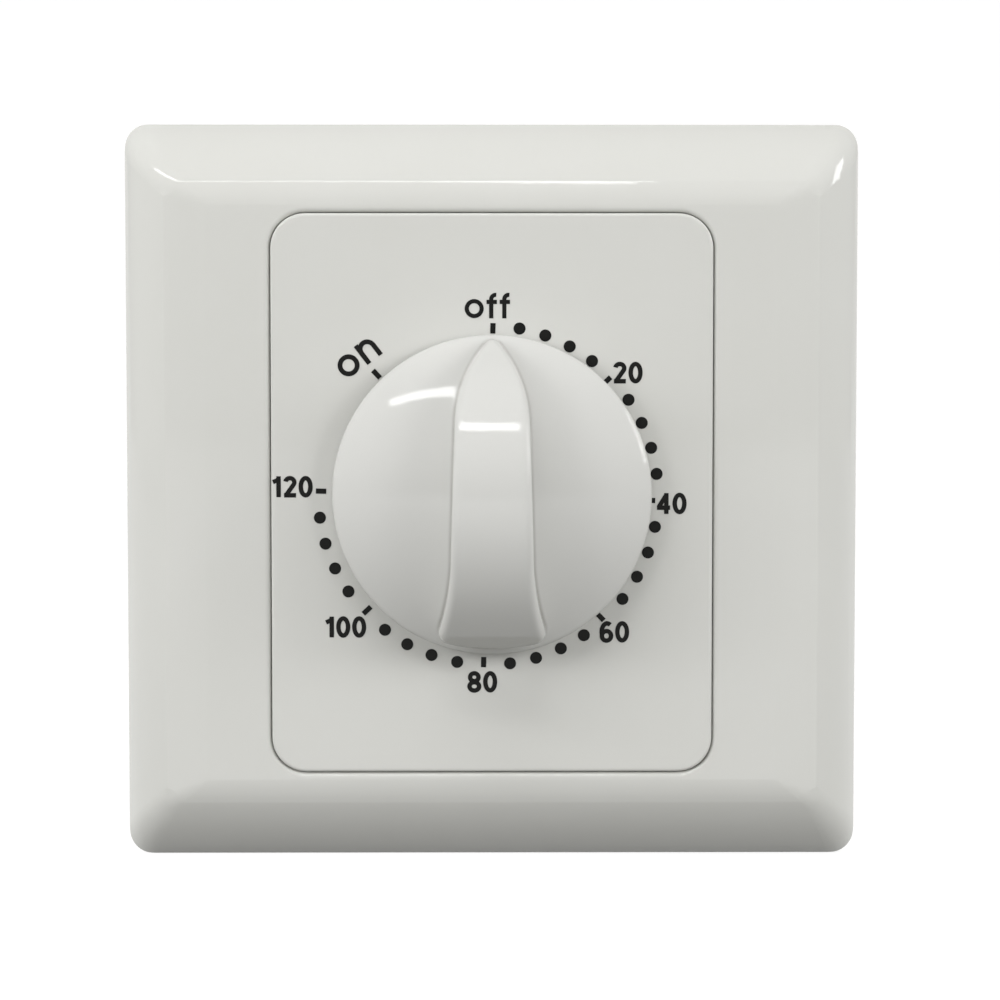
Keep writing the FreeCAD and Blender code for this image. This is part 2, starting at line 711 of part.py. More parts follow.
def knob():
    """Round knob with a domed skirt and an arched grip bar, hollow round a central boss."""
    body = new_body("knob")
    turned(body, "Revolution", [
        ("0", "0 - " + KNOB_BASE), ("knob_radius", "0 - " + KNOB_BASE),
        ("knob_radius", "0 - " + RIM_TOP, DOME_RADIUS, -1), ("0", "0 - " + DOME_TOP)])
    rim = value("0 - " + RIM_TOP)
    dress(body, "Fillet", "Radius", "knob_edge", lambda edge: lies_at(edge, "Y", rim))
    grip = front_sketch(body, KNOB_BASE + " + knob_rim / 2")
    bar_outline(grip)
    pad(body, grip, "knob_rim + bar_rise + bar_lift")
    dress(body, "Fillet", "Radius", "heel_round", at_heel)
    arch = new_sketch(body, "YZ_Plane")
    low = "(0 - %s - bar_lift)" % RIM_TOP
    beyond = "(0 - %s - 2 * bar_rise)" % RIM_TOP
    apex = "(0 - %s - bar_lift - bar_rise)" % RIM_TOP
    draw(arch, [
        (low, "knob_radius", BAR_RADIUS, 1), (apex, "0", BAR_RADIUS, 1), (low, "0 - knob_radius"),
        (beyond, "0 - knob_radius"), (beyond, "knob_radius")])
    pocket(body, arch, "2 * knob_radius", both=True)
    dress(body, "Fillet", "Radius", "bar_edge", on_arch)
    hollow_dome(body)
    bore = front_sketch(body, KNOB_BASE)
    d_outline(bore, "(arbor_radius + run_clearance)", "(arbor_flat + clip_thickness + run_clearance)")
    pocket(body, bore, "arbor_nose + knob_gap - %s" % KNOB_BASE)
    sub_part(body, "knob")


def at_heel(edge):
    """True for the two upright edges at the wide end of the grip."""
    box = edge.BoundBox
    return box.XLength < CLOSE and box.ZLength < CLOSE and box.ZMax < 0


def on_arch(edge):
    """True if the edge lies on the arched top of the grip bar."""
    centre = value("0 - %s - bar_lift - bar_rise + %s" % (RIM_TOP, BAR_RADIUS))
    radius = value(BAR_RADIUS)
    middle = edge.valueAt((edge.FirstParameter + edge.LastParameter) / 2)
    ends = [vertex.Point for vertex in edge.Vertexes] + [middle]
    return all(abs(math.hypot(point.y - centre, point.z) - radius) < 0.02 for point in ends)


def hollow_dome(body):
    """Cut the space under the dome, round the boss."""
    inner = "(%s - knob_wall)" % DOME_RADIUS
    centre = "(%s - %s)" % (DOME_TOP, DOME_RADIUS)
    side = "(knob_radius - knob_wall)"
    side_depth = "(0 - %s - sqrt(%s ^ 2 - %s ^ 2))" % (centre, inner, side)
    boss_depth = "(0 - %s - sqrt(%s ^ 2 - knob_boss ^ 2))" % (centre, inner)
    turned(body, "Groove", [
        ("knob_boss", "0 - insert_front"), (side, "0 - insert_front"),
        (side, side_depth, inner, -1), ("knob_boss", boss_depth)])


def knob_clip():
    """Leaf that takes up the play between the shaft's flat and the knob's bore."""
    body = new_body("knob_clip")
    leaf = front_sketch(body, KNOB_BASE + " + knob_rim")
    rectangle(leaf, "0", "(arbor_flat + run_clearance / 2 + clip_thickness / 2)", "clip_width",
              "clip_thickness")
    pad(body, leaf, "arbor_nose - %s - knob_rim" % KNOB_BASE)
    sub_part(body, "knob_clip")


def movement_plate(label, front):
    """Movement plate with bearing holes for the arbors and holes for the pillars."""
    body = new_body(label, y=front)
    outline = front_sketch(body)
    rounded(outline, "0", "0", MOVEMENT_WIDTH, MOVEMENT_HEIGHT, "movement_corner")
    circle(outline, "0", "0", "arbor_radius + run_clearance")
    for x, z in (SECOND_PLACE, THIRD_PLACE, ESCAPE_PLACE, PALLET_PLACE):
        circle(outline, x, z, "train_pivot + run_clearance")
    for side in (1, -1):
        for level in (1, -1):
            circle(outline, "%d * pillar_x" % side, "%d * pillar_z" % level,
                   "spigot_radius + press_clearance")
    return body, outline


def movement_plates():
    """Front plate with tapped fixing holes, rear plate with holes for the board's screws."""
    body, outline = movement_plate("front_movement_plate", PLATE_BACK)
    for side in (1, -1):
        circle(outline, "%d * fixing_spacing / 2" % side, "0", "fixing_radius + press_clearance")
    pad(body, outline, "movement_plate")
    sub_part(body, "front_movement_plate")
    body, outline = movement_plate("rear_movement_plate", REAR_FACE)
    for x, z in BOARD_POSTS:
        circle(outline, x, z, "board_screw + press_clearance")
    circle(outline, "stop_radius * sin(stop_angle)", "stop_radius * cos(stop_angle)",
           "stop_pin_radius + press_clearance")
    circle(outline, SPRING_POST_X, "0", "spring_post + press_clearance")
    pad(body, outline, "movement_plate")
    sub_part(body, "rear_movement_plate")


def pillars():
    """Four shouldered pillars that hold the plates apart."""
    master = new_body("pillar")
    front, back = PLATE_BACK, REAR_PLATE
    turned(master, "Revolution", [
        ("0", "0 - movement_front"), ("spigot_radius", "0 - movement_front"),
        ("spigot_radius", front), ("pillar_radius", front), ("pillar_radius", back),
        ("spigot_radius", back), ("spigot_radius", REAR_FACE), ("0", REAR_FACE)])
    group("plate_pillars", master, [("%d * pillar_x" % side, "%d * pillar_z" % level)
                                    for side in (1, -1) for level in (1, -1)])


def movement_screws():
    """Two countersunk screws from the panel into the movement's front plate."""
    master = new_body("movement_screw")
    top = "(0 - insert_front + press_clearance)"
    head = "(fixing_head - fixing_radius)"
    turned(master, "Revolution", [
        ("0", top), ("fixing_head - run_clearance", top),
        ("fixing_radius", "0 - insert_front + " + head),
        ("fixing_radius", PLATE_BACK + " + fixing_overrun"),
        ("0", PLATE_BACK + " + fixing_overrun + fixing_point")])
    driver = front_sketch(master, "insert_front + cut_margin")
    rectangle(driver, "0", "0", "(3 * fixing_head)", "(fixing_head / 5)")
    pocket(master, driver, "driver_slot", towards_wall=True)
    group("movement_screws", master, [("%d * fixing_spacing / 2" % side, "0") for side in (1, -1)])


def main_arbor():
    """Steel shaft from the knob through both movement plates, with a collar behind the front one."""
    body = new_body("main_arbor")
    collar = PLATE_BACK + " + end_play"
    turned(body, "Revolution", [
        ("0", "0 - arbor_nose"), ("arbor_radius - arbor_chamfer", "0 - arbor_nose"),
        ("arbor_radius", "arbor_chamfer - arbor_nose"), ("arbor_radius", collar),
        ("collar_radius", collar), ("collar_radius", collar + " + collar_thickness"),
        ("arbor_radius", collar + " + collar_thickness"), ("arbor_radius", ARBOR_END),
        ("0", ARBOR_END)])
    flat = front_sketch(body, "arbor_nose")
    rectangle(flat, "0", "(arbor_flat + arbor_radius)", "(3 * arbor_radius)", "(2 * arbor_radius)")
    pocket(body, flat, "arbor_nose - insert_front", towards_wall=True)
    sub_part(body, "main_arbor")


def toothed(body, kind, teeth, module, length):
    """Pad a disc with teeth whose flanks are two straight facets."""
    disc = front_sketch(body)
    base = "(%s * (%s / 2 - %s_dedendum_ratio))" % (module, teeth, kind)
    circle(disc, "0", "0", base)
    pad(body, disc, length)
    foot = "(tooth_root_ratio * %s)" % base
    pitch = "(%s * %s / 2)" % (module, teeth)
    crown = "(%s * (%s / 2 + %s_addendum_ratio))" % (module, teeth, kind)
    flank = [(foot, "root"), (pitch, "pitch"), (crown, "tip")]
    below = [(x, "0 - %s_%s_ratio * %s" % (kind, part, module)) for x, part in flank]
    above = [(x, "%s_%s_ratio * %s" % (kind, part, module)) for x, part in reversed(flank)]
    tooth = front_sketch(body)
    draw(tooth, below + above)
    feature = pad(body, tooth, length)
    repeat_round(body, feature, disc, teeth)
    return disc


def wheel(label, spot, turn, teeth, module, back, bore, hub="0"):
    """Brass wheel with its back face at a depth, turned so that a tooth meets its pinion."""
    body = new_body(label, spot[0], back, spot[1], turn)
    toothed(body, "wheel", teeth, module, "wheel_thickness")
    if hub != "0":
        collet = front_sketch(body)
        circle(collet, "0", "0", hub)
        pad(body, collet, "hub_length", towards_wall=True)
    hole = front_sketch(body, "wheel_thickness + hub_length")
    circle(hole, "0", "0", bore + " + press_clearance")
    pocket(body, hole, "2 * wheel_thickness + 3 * hub_length", towards_wall=True)
    return body


def crossings(body, outer, inner, width, count):
    """Cut windows between the spokes of a wheel."""
    sketch = front_sketch(body, "wheel_thickness + cut_margin")
    half = "(%s / 2)" % width
    near = "sqrt(%s ^ 2 - %s ^ 2)" % (inner, half)
    far = "sqrt(%s ^ 2 - %s ^ 2)" % (outer, half)
    turn = "(360 / %s)" % count
    draw(sketch, [
        (near, half), (far, half, outer, 1),
        ("%s * cos%s + %s * sin%s" % (far, turn, half, turn),
         "%s * sin%s - %s * cos%s" % (far, turn, half, turn)),
        ("%s * cos%s + %s * sin%s" % (near, turn, half, turn),
         "%s * sin%s - %s * cos%s" % (near, turn, half, turn), inner, -1)])
    feature = pocket(body, sketch, "wheel_thickness + 2 * cut_margin", towards_wall=True)
    repeat_round(body, feature, sketch, count)


def pinion(label, spot, turn, leaves, module, back, length):
    """Steel pinion pressed on its arbor."""
    body = new_body(label, spot[0], back, spot[1], turn)
    toothed(body, "pinion", leaves, module, length)
    hole = front_sketch(body, length + " + cut_margin")
    circle(hole, "0", "0", "train_arbor + press_clearance")
    pocket(body, hole, length + " + 2 * cut_margin", towards_wall=True)
    return body


def train_arbor(label, spot):
    """Steel arbor with a pivot at each end that runs in the movement plates."""
    body = new_body(label, spot[0], "0", spot[1])
    front = "(%s + end_play)" % PLATE_BACK
    back = "(%s - end_play)" % REAR_PLATE
    turned(body, "Revolution", [
        ("0", "0 - movement_front"), ("train_pivot", "0 - movement_front"), ("train_pivot", front),
        ("train_arbor", front), ("train_arbor", back), ("train_pivot", back),
        ("train_pivot", REAR_FACE), ("0", REAR_FACE)])
    return body


def polar(origin, distance, angle):
    """Place at a distance and angle from another place."""
    return ("(%s + %s * cos(%s))" % (origin[0], distance, angle),
            "(%s + %s * sin(%s))" % (origin[1], distance, angle))


# Each arbor of the train stands at the same distance from the dial's axis as the second one
CENTRE = ("0", "0")
SECOND_PLACE = polar(CENTRE, SECOND_MESH, "second_angle")
THIRD_TURN = "(2 * asin(%s / (2 * %s)) / (1 deg))" % (THIRD_MESH, SECOND_MESH)
ESCAPE_TURN = "(2 * asin(%s / (2 * %s)) / (1 deg))" % (ESCAPE_MESH, SECOND_MESH)
THIRD_PLACE = polar(CENTRE, SECOND_MESH, "(second_angle + %s)" % THIRD_TURN)
ESCAPE_PLACE = polar(CENTRE, SECOND_MESH, "(second_angle + %s + %s)" % (THIRD_TURN, ESCAPE_TURN))
# Two arbors on one circle: the line from one to the next leaves at half the turn past square
SECOND_TO_THIRD = "(second_angle + %s / 2 + 90)" % THIRD_TURN
THIRD_TO_ESCAPE = "(second_angle + %s + %s / 2 + 90)" % (THIRD_TURN, ESCAPE_TURN)
PALLET_PLACE = polar(ESCAPE_PLACE, "pallet_distance", "pallet_angle")
POST_Z = "(%s / 2 - board_post_inset)" % BOARD_HEIGHT
BOARD_POSTS = [("board_post_x", POST_Z), ("0 - board_post_x", POST_Z),
               ("0", "0 - %s - board_post_drop" % POST_Z)]
SPRING_POST_X = ("(spring_inner + spring_pitch * spring_turns + spring_strip + spring_post"
                 " + run_clearance)")
ARBOR_END = "(%s + cam_thickness + ring_thickness + 2 * end_play)" % CAM_FRONT


def great_wheel():
    """Large wheel of the dial, with a hub behind and a post for the click."""
    body = wheel("great_wheel", CENTRE, "0 - second_angle", "great_teeth", "great_module",
                 "0 - great_layer", "arbor_radius", "hub_radius")
    pin_hole = front_sketch(body, "wheel_thickness + cut_margin")
    # The click stays at its own angle, whatever way the wheel is turned
    x = "click_reach * cos(click_angle - second_angle)"
    y = "click_reach * sin(click_angle - second_angle)"
    circle(pin_hole, x, y, "click_pin_radius + press_clearance")
    pocket(body, pin_hole, "wheel_thickness + 2 * cut_margin", towards_wall=True)
    sub_part(body, "great_wheel")


def train():
    """Second, third and escape arbors with their pinions and wheels."""
    rows = [
        ("second", SECOND_PLACE, "second_angle", "second_leaves", "great_module",
         "0 - great_layer + pinion_overhang"),
        ("third", THIRD_PLACE, SECOND_TO_THIRD, "third_leaves", "second_module",
         "second_layer + wheel_thickness + pinion_overhang"),
        ("escape", ESCAPE_PLACE, THIRD_TO_ESCAPE, "escape_leaves", "third_module",
         "third_layer + wheel_thickness + pinion_overhang")]
    for name, spot, angle, leaves, module, back in rows:
        sub_part(train_arbor(name + "_arbor", spot), name + "_arbor")
        turn = "(180 - %s - 180 / %s)" % (angle, leaves)
        length = "(wheel_thickness + 2 * pinion_overhang)"
        sub_part(pinion(name + "_pinion", spot, turn, leaves, module, back, length), name + "_pinion")
    for name, spot, angle, layer in (("second", SECOND_PLACE, SECOND_TO_THIRD, "second_layer"),
                                     ("third", THIRD_PLACE, THIRD_TO_ESCAPE, "third_layer")):
        teeth, module = name + "_teeth", name + "_module"
        body = wheel(name + "_wheel", spot, "0 - " + angle, teeth, module,
                     "(%s + wheel_thickness)" % layer, "train_arbor")
        crossings(body, "(%s * (%s / 2 - crossing_rim_ratio))" % (module, teeth),
                  "(crossing_hub_ratio * train_arbor)", "(spoke_ratio * train_arbor)", "spoke_count")
        sub_part(body, name + "_wheel")


def escape_wheel():
    """Pointed teeth that the pallet pins catch one by one."""
    body = new_body("escape_wheel", ESCAPE_PLACE[0], "escape_layer + wheel_thickness", ESCAPE_PLACE[1],
                    "0 - pallet_angle - 180 / escape_teeth")
    disc = front_sketch(body)
    circle(disc, "0", "0", "escape_root")
    pad(body, disc, "wheel_thickness")
    tooth = front_sketch(body)
    foot = "(tooth_root_ratio * escape_root)"
    draw(tooth, [(foot, "0 - escape_tooth_back"), ("escape_radius", "0 - escape_tip"),
                 ("escape_radius", "escape_tip"), (foot, "escape_tooth_front")])
    feature = pad(body, tooth, "wheel_thickness")
    repeat_round(body, feature, disc, "escape_teeth")
    hole = front_sketch(body, "wheel_thickness + cut_margin")
    circle(hole, "0", "0", "train_arbor + press_clearance")
    pocket(body, hole, "wheel_thickness + 2 * cut_margin", towards_wall=True)
    sub_part(body, "escape_wheel")


def pallets():
    """Rocking lever with two pallet pins and a heavy bar, on an arbor of its own."""
    sub_part(train_arbor("pallet_arbor", PALLET_PLACE), "pallet_arbor")
    lever_front = "(escape_layer + wheel_thickness + end_play + pallet_thickness)"
    body = new_body("pallet_lever", PALLET_PLACE[0], lever_front, PALLET_PLACE[1],
                    "0 - pallet_angle")
    reach = "(escape_radius + pallet_clearance + pallet_pin_radius)"
    pin_x = "(%s * cos(pallet_spread_angle) - pallet_distance)" % reach
    pin_z = "(%s * sin(pallet_spread_angle))" % reach
    lever = front_sketch(body)
    half = "(pallet_width / 2)"
    draw(lever, [
        (pin_x + " - " + half, pin_z + " + " + half), (pin_x + " - " + half, pin_z + " - " + half),
        ("0 - pallet_heel", "0"),
        (pin_x + " - " + half, "0 - " + pin_z + " + " + half),
        (pin_x + " - " + half, "0 - " + pin_z + " - " + half),
        (pin_x + " + " + half, "0 - " + pin_z + " - " + half),
        ("0", "0 - pallet_width"), ("pallet_width", "0 - inertia_bar"),
        ("2 * pallet_width", "0 - inertia_bar"), ("2 * pallet_width", "inertia_bar"),
        ("pallet_width", "inertia_bar"), ("0", "pallet_width"),
        (pin_x + " + " + half, pin_z + " + " + half)])
    circle(lever, "0", "0", "train_arbor + press_clearance")
    for side in ("", "0 - "):
        circle(lever, pin_x, side + pin_z, "pallet_pin_radius + press_clearance")
    pad(body, lever, "pallet_thickness")
    sub_part(body, "pallet_lever")
    master = new_body("pallet_pin")
    turned(master, "Revolution", [
        ("0", "escape_layer - pallet_pin_overrun"),
        ("pallet_pin_radius", "escape_layer - pallet_pin_overrun"),
        ("pallet_pin_radius", lever_front), ("0", lever_front)])
    group("pallet_pins", master, [polar(ESCAPE_PLACE, reach, "(pallet_angle + %d * pallet_spread_angle)" % side)
                                  for side in (1, -1)])


def ratchet():
    """Saw-toothed wheel on the arbor, with the click, its pivot and its spring on the great wheel."""
    back = "(%s - end_play / 2)" % GREAT_FRONT
    body = new_body("ratchet_wheel", "0", back, "0")
    disc = front_sketch(body)
    circle(disc, "0", "0", "ratchet_radius - ratchet_tooth")
    circle(disc, "0", "0", "arbor_radius + press_clearance")
    pad(body, disc, "ratchet_thickness")
    tooth = front_sketch(body)
    root = "(ratchet_radius - ratchet_tooth)"
    foot = "(tooth_root_ratio * %s)" % root
    draw(tooth, [
        (foot, "0"), ("ratchet_radius", "0"),
        (root + " * cos(360 / ratchet_teeth)", root + " * sin(360 / ratchet_teeth)"),
        (foot + " * cos(360 / ratchet_teeth)", foot + " * sin(360 / ratchet_teeth)")])
    feature = pad(body, tooth, "ratchet_thickness")
    repeat_round(body, feature, disc, "ratchet_teeth")
    sub_part(body, "ratchet_wheel")
    click(back)


def click(back):
    """Pawl on a rivet, pressed towards the ratchet by a leaf."""
    spot = ("click_reach * cos(click_angle)", "click_reach * sin(click_angle)")
    body = new_body("click", spot[0], back, spot[1], "0 - click_angle")
    outline = front_sketch(body)
    reach = "(click_reach - ratchet_radius)"
    draw(outline, [
        ("0 - click_eye", "0", "click_eye", 1), ("0", "0 - click_eye", "click_eye", 1),
        ("click_eye", "0", "click_eye", 1), ("0", "click_eye"),
        ("click_nose_gap - " + reach, "click_nose"), ("0 - %s - click_bite" % reach, "click_tip")])
    circle(outline, "0", "0", "click_pin_radius + run_clearance")
    pad(body, outline, "click_thickness")
    sub_part(body, "click")
    pivot = new_body("click_pivot", spot[0], "0 - great_layer", spot[1])
    head = "(0 - wheel_thickness - ratchet_thickness - click_pin_head_height)"
    turned(pivot, "Revolution", [
        ("0", "0"), ("click_pin_radius", "0"),
        ("click_pin_radius", "0 - wheel_thickness - ratchet_thickness"),
        ("click_pin_head", "0 - wheel_thickness - ratchet_thickness"),
        ("click_pin_head", head), ("0", head)])
    sub_part(pivot, "click_pivot")
    spring = new_body("click_spring", spot[0], back, spot[1], "0 - click_angle")
    leaf = front_sketch(spring)
    inner = "(click_eye + click_spring_gap)"
    outer = "(%s + click_spring_thickness)" % inner
    foot = "(%s + click_foot_width)" % inner
    draw(leaf, [
        (inner, "0 - click_foot_low"), (foot, "0 - click_foot_low"), (foot, "0 - click_foot_high"),
        (outer, "0 - click_foot_high"), (outer, "click_bend + click_bend_rise"),
        ("click_spring_thickness - click_leaf_reach", "click_leaf_end + click_bend_rise"),
        ("0 - click_leaf_reach", "click_leaf_end"), (inner, "click_bend")])
    pad(spring, leaf, "click_thickness")
    sub_part(spring, "click_spring")


def mainspring():
    """Flat spiral strip round the arbor, with an eye at its outer end for the spring post."""
    pitch = value("spring_pitch")
    inner = value("spring_inner")
    strip = value("spring_strip")
    edges = []
    for offset in (0.0, strip):
        arcs = []
        for half in range(int(2 * value("spring_turns"))):
            side = 1 if half % 2 == 0 else -1
            radius = inner + offset + pitch * half / 2
            centre = FreeCAD.Vector(0 if side > 0 else pitch / 2, 0, 0)
            arcs.append(Part.Arc(*[centre + FreeCAD.Vector(radius * side * math.cos(angle), 0,
                                                           radius * side * math.sin(angle))
                                   for angle in (0, math.pi / 2, math.pi)]).toShape())
        edges.append(arcs)
    inside, outside = edges
    ends = [Part.LineSegment(inside[0].Vertexes[0].Point, outside[0].Vertexes[0].Point).toShape(),
            Part.LineSegment(inside[-1].Vertexes[-1].Point, outside[-1].Vertexes[-1].Point).toShape()]
    wire = Part.Wire(Part.__sortEdges__(inside + [ends[1]] + outside + [ends[0]]))
    width = FreeCAD.Vector(0, value("spring_width"), 0)
    post = FreeCAD.Vector(value(SPRING_POST_X), 0, 0)
    bore = value("spring_post + run_clearance")
    eye = Part.makeCylinder(bore + strip, width.y, post, FreeCAD.Vector(0, 1, 0)).cut(
        Part.makeCylinder(bore, width.y, post, FreeCAD.Vector(0, 1, 0)))
    item = doc.addObject("Part::Feature", "mainspring")
    item.Shape = Part.Face(wire).extrude(width).fuse(eye)
    place(item, y="spring_layer")
    sub_part(item, "mainspring")


def spring_post():
    """Post in the rear plate that holds the mainspring's outer end."""
    body = new_body("spring_post", SPRING_POST_X)
    turned(body, "Revolution", [
        ("0", "0"), ("spring_post", "0"), ("spring_post", REAR_FACE), ("0", REAR_FACE)])
    sub_part(body, "spring_post")


def switch_cam():
    """Moulded cam: a notch where the contacts open, and a lobe that meets the stop pin."""
    body = new_body("switch_cam", "0", "(%s + cam_thickness)" % CAM_FRONT, "0")
    disc = front_sketch(body)
    circle(disc, "0", "0", "cam_radius")
    pad(body, disc, "cam_thickness")
    lobe = front_sketch(body)
    # The dial can't turn through what is left of the circle, half of it on each side of the pin
    middle = "(stop_angle + on_angle + (360 - on_angle - full_angle) / 2)"
    outer = "(stop_radius + stop_pin_radius)"
    inner = "(cam_radius - notch_depth / 2)"
    draw(lobe, [
        ("%s * sin(%s - stop_half_angle)" % (inner, middle), "%s * cos(%s - stop_half_angle)" % (inner, middle)),
        ("%s * sin(%s - stop_half_angle)" % (outer, middle), "%s * cos(%s - stop_half_angle)" % (outer, middle),
         outer, -1),
        ("%s * sin(%s + stop_half_angle)" % (outer, middle), "%s * cos(%s + stop_half_angle)" % (outer, middle)),
        ("%s * sin(%s + stop_half_angle)" % (inner, middle), "%s * cos(%s + stop_half_angle)" % (inner, middle))])
    pad(body, lobe, "cam_thickness")
    notch = front_sketch(body, "cam_thickness + cut_margin")
    floor = "(cam_radius - notch_depth)"
    draw(notch, [
        ("0 - notch_floor", floor), ("notch_floor", floor), ("notch_mouth", "cam_radius + cut_margin"),
        ("0 - notch_mouth", "cam_radius + cut_margin")])
    pocket(body, notch, "cam_thickness + 2 * cut_margin", towards_wall=True)
    hole = front_sketch(body, "cam_thickness + cut_margin")
    circle(hole, "0", "0", "arbor_radius + press_clearance")
    pocket(body, hole, "cam_thickness + 2 * cut_margin", towards_wall=True)
    sub_part(body, "switch_cam")


def arbor_ring():
    """Retaining ring behind the cam."""
    body = new_body("arbor_ring", "0", "(%s - end_play)" % ARBOR_END, "0")
    ring = front_sketch(body)
    circle(ring, "0", "0", "ring_radius")
    circle(ring, "0", "0", "arbor_radius + press_clearance")
    pad(body, ring, "ring_thickness")
    gap = front_sketch(body, "ring_thickness + cut_margin")
    rectangle(gap, "0", "0 - ring_radius", "ring_gap", "(2 * (ring_radius - arbor_flat))")
    pocket(body, gap, "ring_thickness + 2 * cut_margin", towards_wall=True)
    sub_part(body, "arbor_ring")


def stop_pin():
    """Pin in the rear plate that ends the dial's travel both ways."""
    body = new_body("stop_pin", "stop_radius * sin(stop_angle)", "0", "stop_radius * cos(stop_angle)")
    end = "(%s + cam_thickness)" % CAM_FRONT
    turned(body, "Revolution", [
        ("0", REAR_PLATE), ("stop_pin_radius", REAR_PLATE), ("stop_pin_radius", end), ("0", end)])
    sub_part(body, "stop_pin")


def contact_board():
    """Insulating board on three posts, with a pocket for each terminal behind."""
    body = new_body("contact_board")
    board = front_sketch(body, "0 - " + BOARD_BACK)
    rounded(board, "0", "0", BOARD_WIDTH, BOARD_HEIGHT, "movement_corner")
    pad(body, board, "board_thickness")
    posts = front_sketch(body, "0 - " + BOARD_FRONT)
    for x, z in BOARD_POSTS:
        circle(posts, x, z, "board_post")
    pad(body, posts, "board_stand")
    walls = front_sketch(body, "0 - " + BOARD_BACK)
    room = "(terminal_width + 2 * run_clearance)"
    for side in (1, -1):
        x = "%d * terminal_x" % side
        for edge in (1, -1):
            rectangle(walls, "%s + %d * (%s + pocket_wall) / 2" % (x, edge, room), TERMINAL_Z,
                      "pocket_wall", "terminal_length")
    pad(body, walls, "pocket_height", towards_wall=True)
    tail_slots = front_sketch(body, "0 - " + BOARD_BACK)
    for side in (1, -1):
        rectangle(tail_slots, "%d * (terminal_x + (%s + pocket_wall) / 2)" % (side, room), TERMINAL_Z,
                  "(2 * pocket_wall)", "(tail_width + 2 * claw_play)")
    pocket(body, tail_slots, "strip_thickness + run_clearance", towards_wall=True)
    holes = front_sketch(body)
    for x, z in BOARD_POSTS:
        circle(holes, x, z, "board_screw + run_clearance")
    for side in (1, -1):
        rectangle(holes, "%d * (leaf_root - tail_width / 2)" % side, STRIP_SLOTS[side],
                  "(tail_width + 2 * claw_play)", "(strip_thickness + 2 * claw_play)")
    pocket(body, holes, "2 * " + BOARD_BACK, towards_wall=True)
    sub_part(body, "contact_board")


STRIP_SLOTS = {-1: "(leaf_height + strip_thickness / 2)", 1: "(%s + strip_thickness / 2)" % FIXED_STRIP_Z}


def strip_tail(body, side, level):
    """Tab through the board and a leg down its back to the terminal."""
    tab = front_sketch(body, "0 - " + CAM_FRONT)
    x = "%d * (leaf_root - tail_width / 2)" % side
    rectangle(tab, x, level, "tail_width", "strip_thickness")
    pad(body, tab, "%s - %s" % (CLAMP_FRONT, CAM_FRONT), towards_wall=True)
    leg = front_sketch(body, "0 - " + BOARD_BACK)
    outer = "%d * leaf_root" % side
    inner = "%d * (leaf_root - tail_width)" % side
    end = "%d * (terminal_x - tail_width)" % side
    foot = "(%s - tail_width / 2)" % TERMINAL_Z
    knee = "(%s + tail_width / 2)" % TERMINAL_Z
    top = "(%s + strip_thickness / 2)" % level
    draw(leg, [(inner, top), (outer, top), (outer, foot), (end, foot), (end, knee), (inner, knee)])
    pad(body, leg, "strip_thickness", towards_wall=True)


def contact_strips():
    """Springy leaf that the cam lifts, and the fixed strip above its end."""
    leaf = new_body("moving_contact_leaf")
    profile = front_sketch(leaf, "0 - " + CAM_FRONT)
    low = "leaf_height"
    high = "(leaf_height + strip_thickness)"
    tip = "(leaf_height - follower_drop)"
    draw(profile, [
        ("0 - leaf_root", low), ("0 - follower_half", low), ("0", tip), ("follower_half", low),
        ("leaf_end", low), ("leaf_end", high), ("follower_half - follower_bend", high),
        ("0", tip + " + follower_wall"), ("follower_bend - follower_half", high),
        ("0 - leaf_root", high)])
    pad(leaf, profile, "strip_width", towards_wall=True)
    strip_tail(leaf, -1, STRIP_SLOTS[-1])
    sub_part(leaf, "moving_contact_leaf")
    fixed = new_body("fixed_contact_strip")
    bar = front_sketch(fixed, "0 - " + CAM_FRONT)
    middle = "((leaf_root + contact_x - 2 * contact_radius) / 2)"
    rectangle(bar, middle, STRIP_SLOTS[1], "(leaf_root - contact_x + 2 * contact_radius)", "strip_thickness")
    pad(fixed, bar, "strip_width", towards_wall=True)
    strip_tail(fixed, 1, STRIP_SLOTS[1])
    sub_part(fixed, "fixed_contact_strip")


def contact_rivet(label, level):
    """Silver contact, a short button square to the strips."""
    button = doc.addObject("Part::Cylinder", label)
    bind(button, "Radius", "contact_radius")
    bind(button, "Height", "contact_height")
    bind(button, "Placement.Base.x", "contact_x")
    bind(button, "Placement.Base.y", "%s + strip_width / 2" % CAM_FRONT)
    bind(button, "Placement.Base.z", level)
    sub_part(button, label)


def terminals():
    """Brass clamp blocks with a wire bore from below and a clamp screw from behind."""
    master = new_body("terminal_clamp")
    block = front_sketch(master, "0 - " + CLAMP_BACK)
    rectangle(block, "0", TERMINAL_Z, "terminal_width", "terminal_length")
    pad(master, block, "terminal_depth")
    bore = new_sketch(master, "XY_Plane", TERMINAL_Z + " + terminal_length")
    circle(bore, "0", WIRE_Y, "wire_radius")
    pocket(master, bore, "2 * terminal_length", towards_wall=True)
    thread = front_sketch(master, "0 - " + WIRE_Y)
    circle(thread, "0", TERMINAL_Z, "clamp_screw_radius + press_clearance")
    pocket(master, thread, "terminal_depth", towards_wall=True)
    group("terminal_clamps", master, [("%d * terminal_x" % side, "0") for side in (1, -1)])
    screw = new_body("clamp_screw")
    tip = "(%s + wire_radius + run_clearance)" % WIRE_Y
    seat = "(%s + end_play)" % CLAMP_BACK
    turned(screw, "Revolution", [
        ("0", tip), ("clamp_screw_radius", tip), ("clamp_screw_radius", seat),
        ("clamp_head_radius", seat), ("clamp_head_radius", seat + " + clamp_head"),
        ("0", seat + " + clamp_head")])
    driver = front_sketch(screw, "0 - %s - clamp_head - cut_margin" % seat)
    rectangle(driver, "0", "0", "(3 * clamp_head_radius)", "(clamp_head_radius / 4)")
    pocket(screw, driver, "driver_slot")
    group("clamp_screws", screw, [("%d * terminal_x" % side, TERMINAL_Z) for side in (1, -1)])


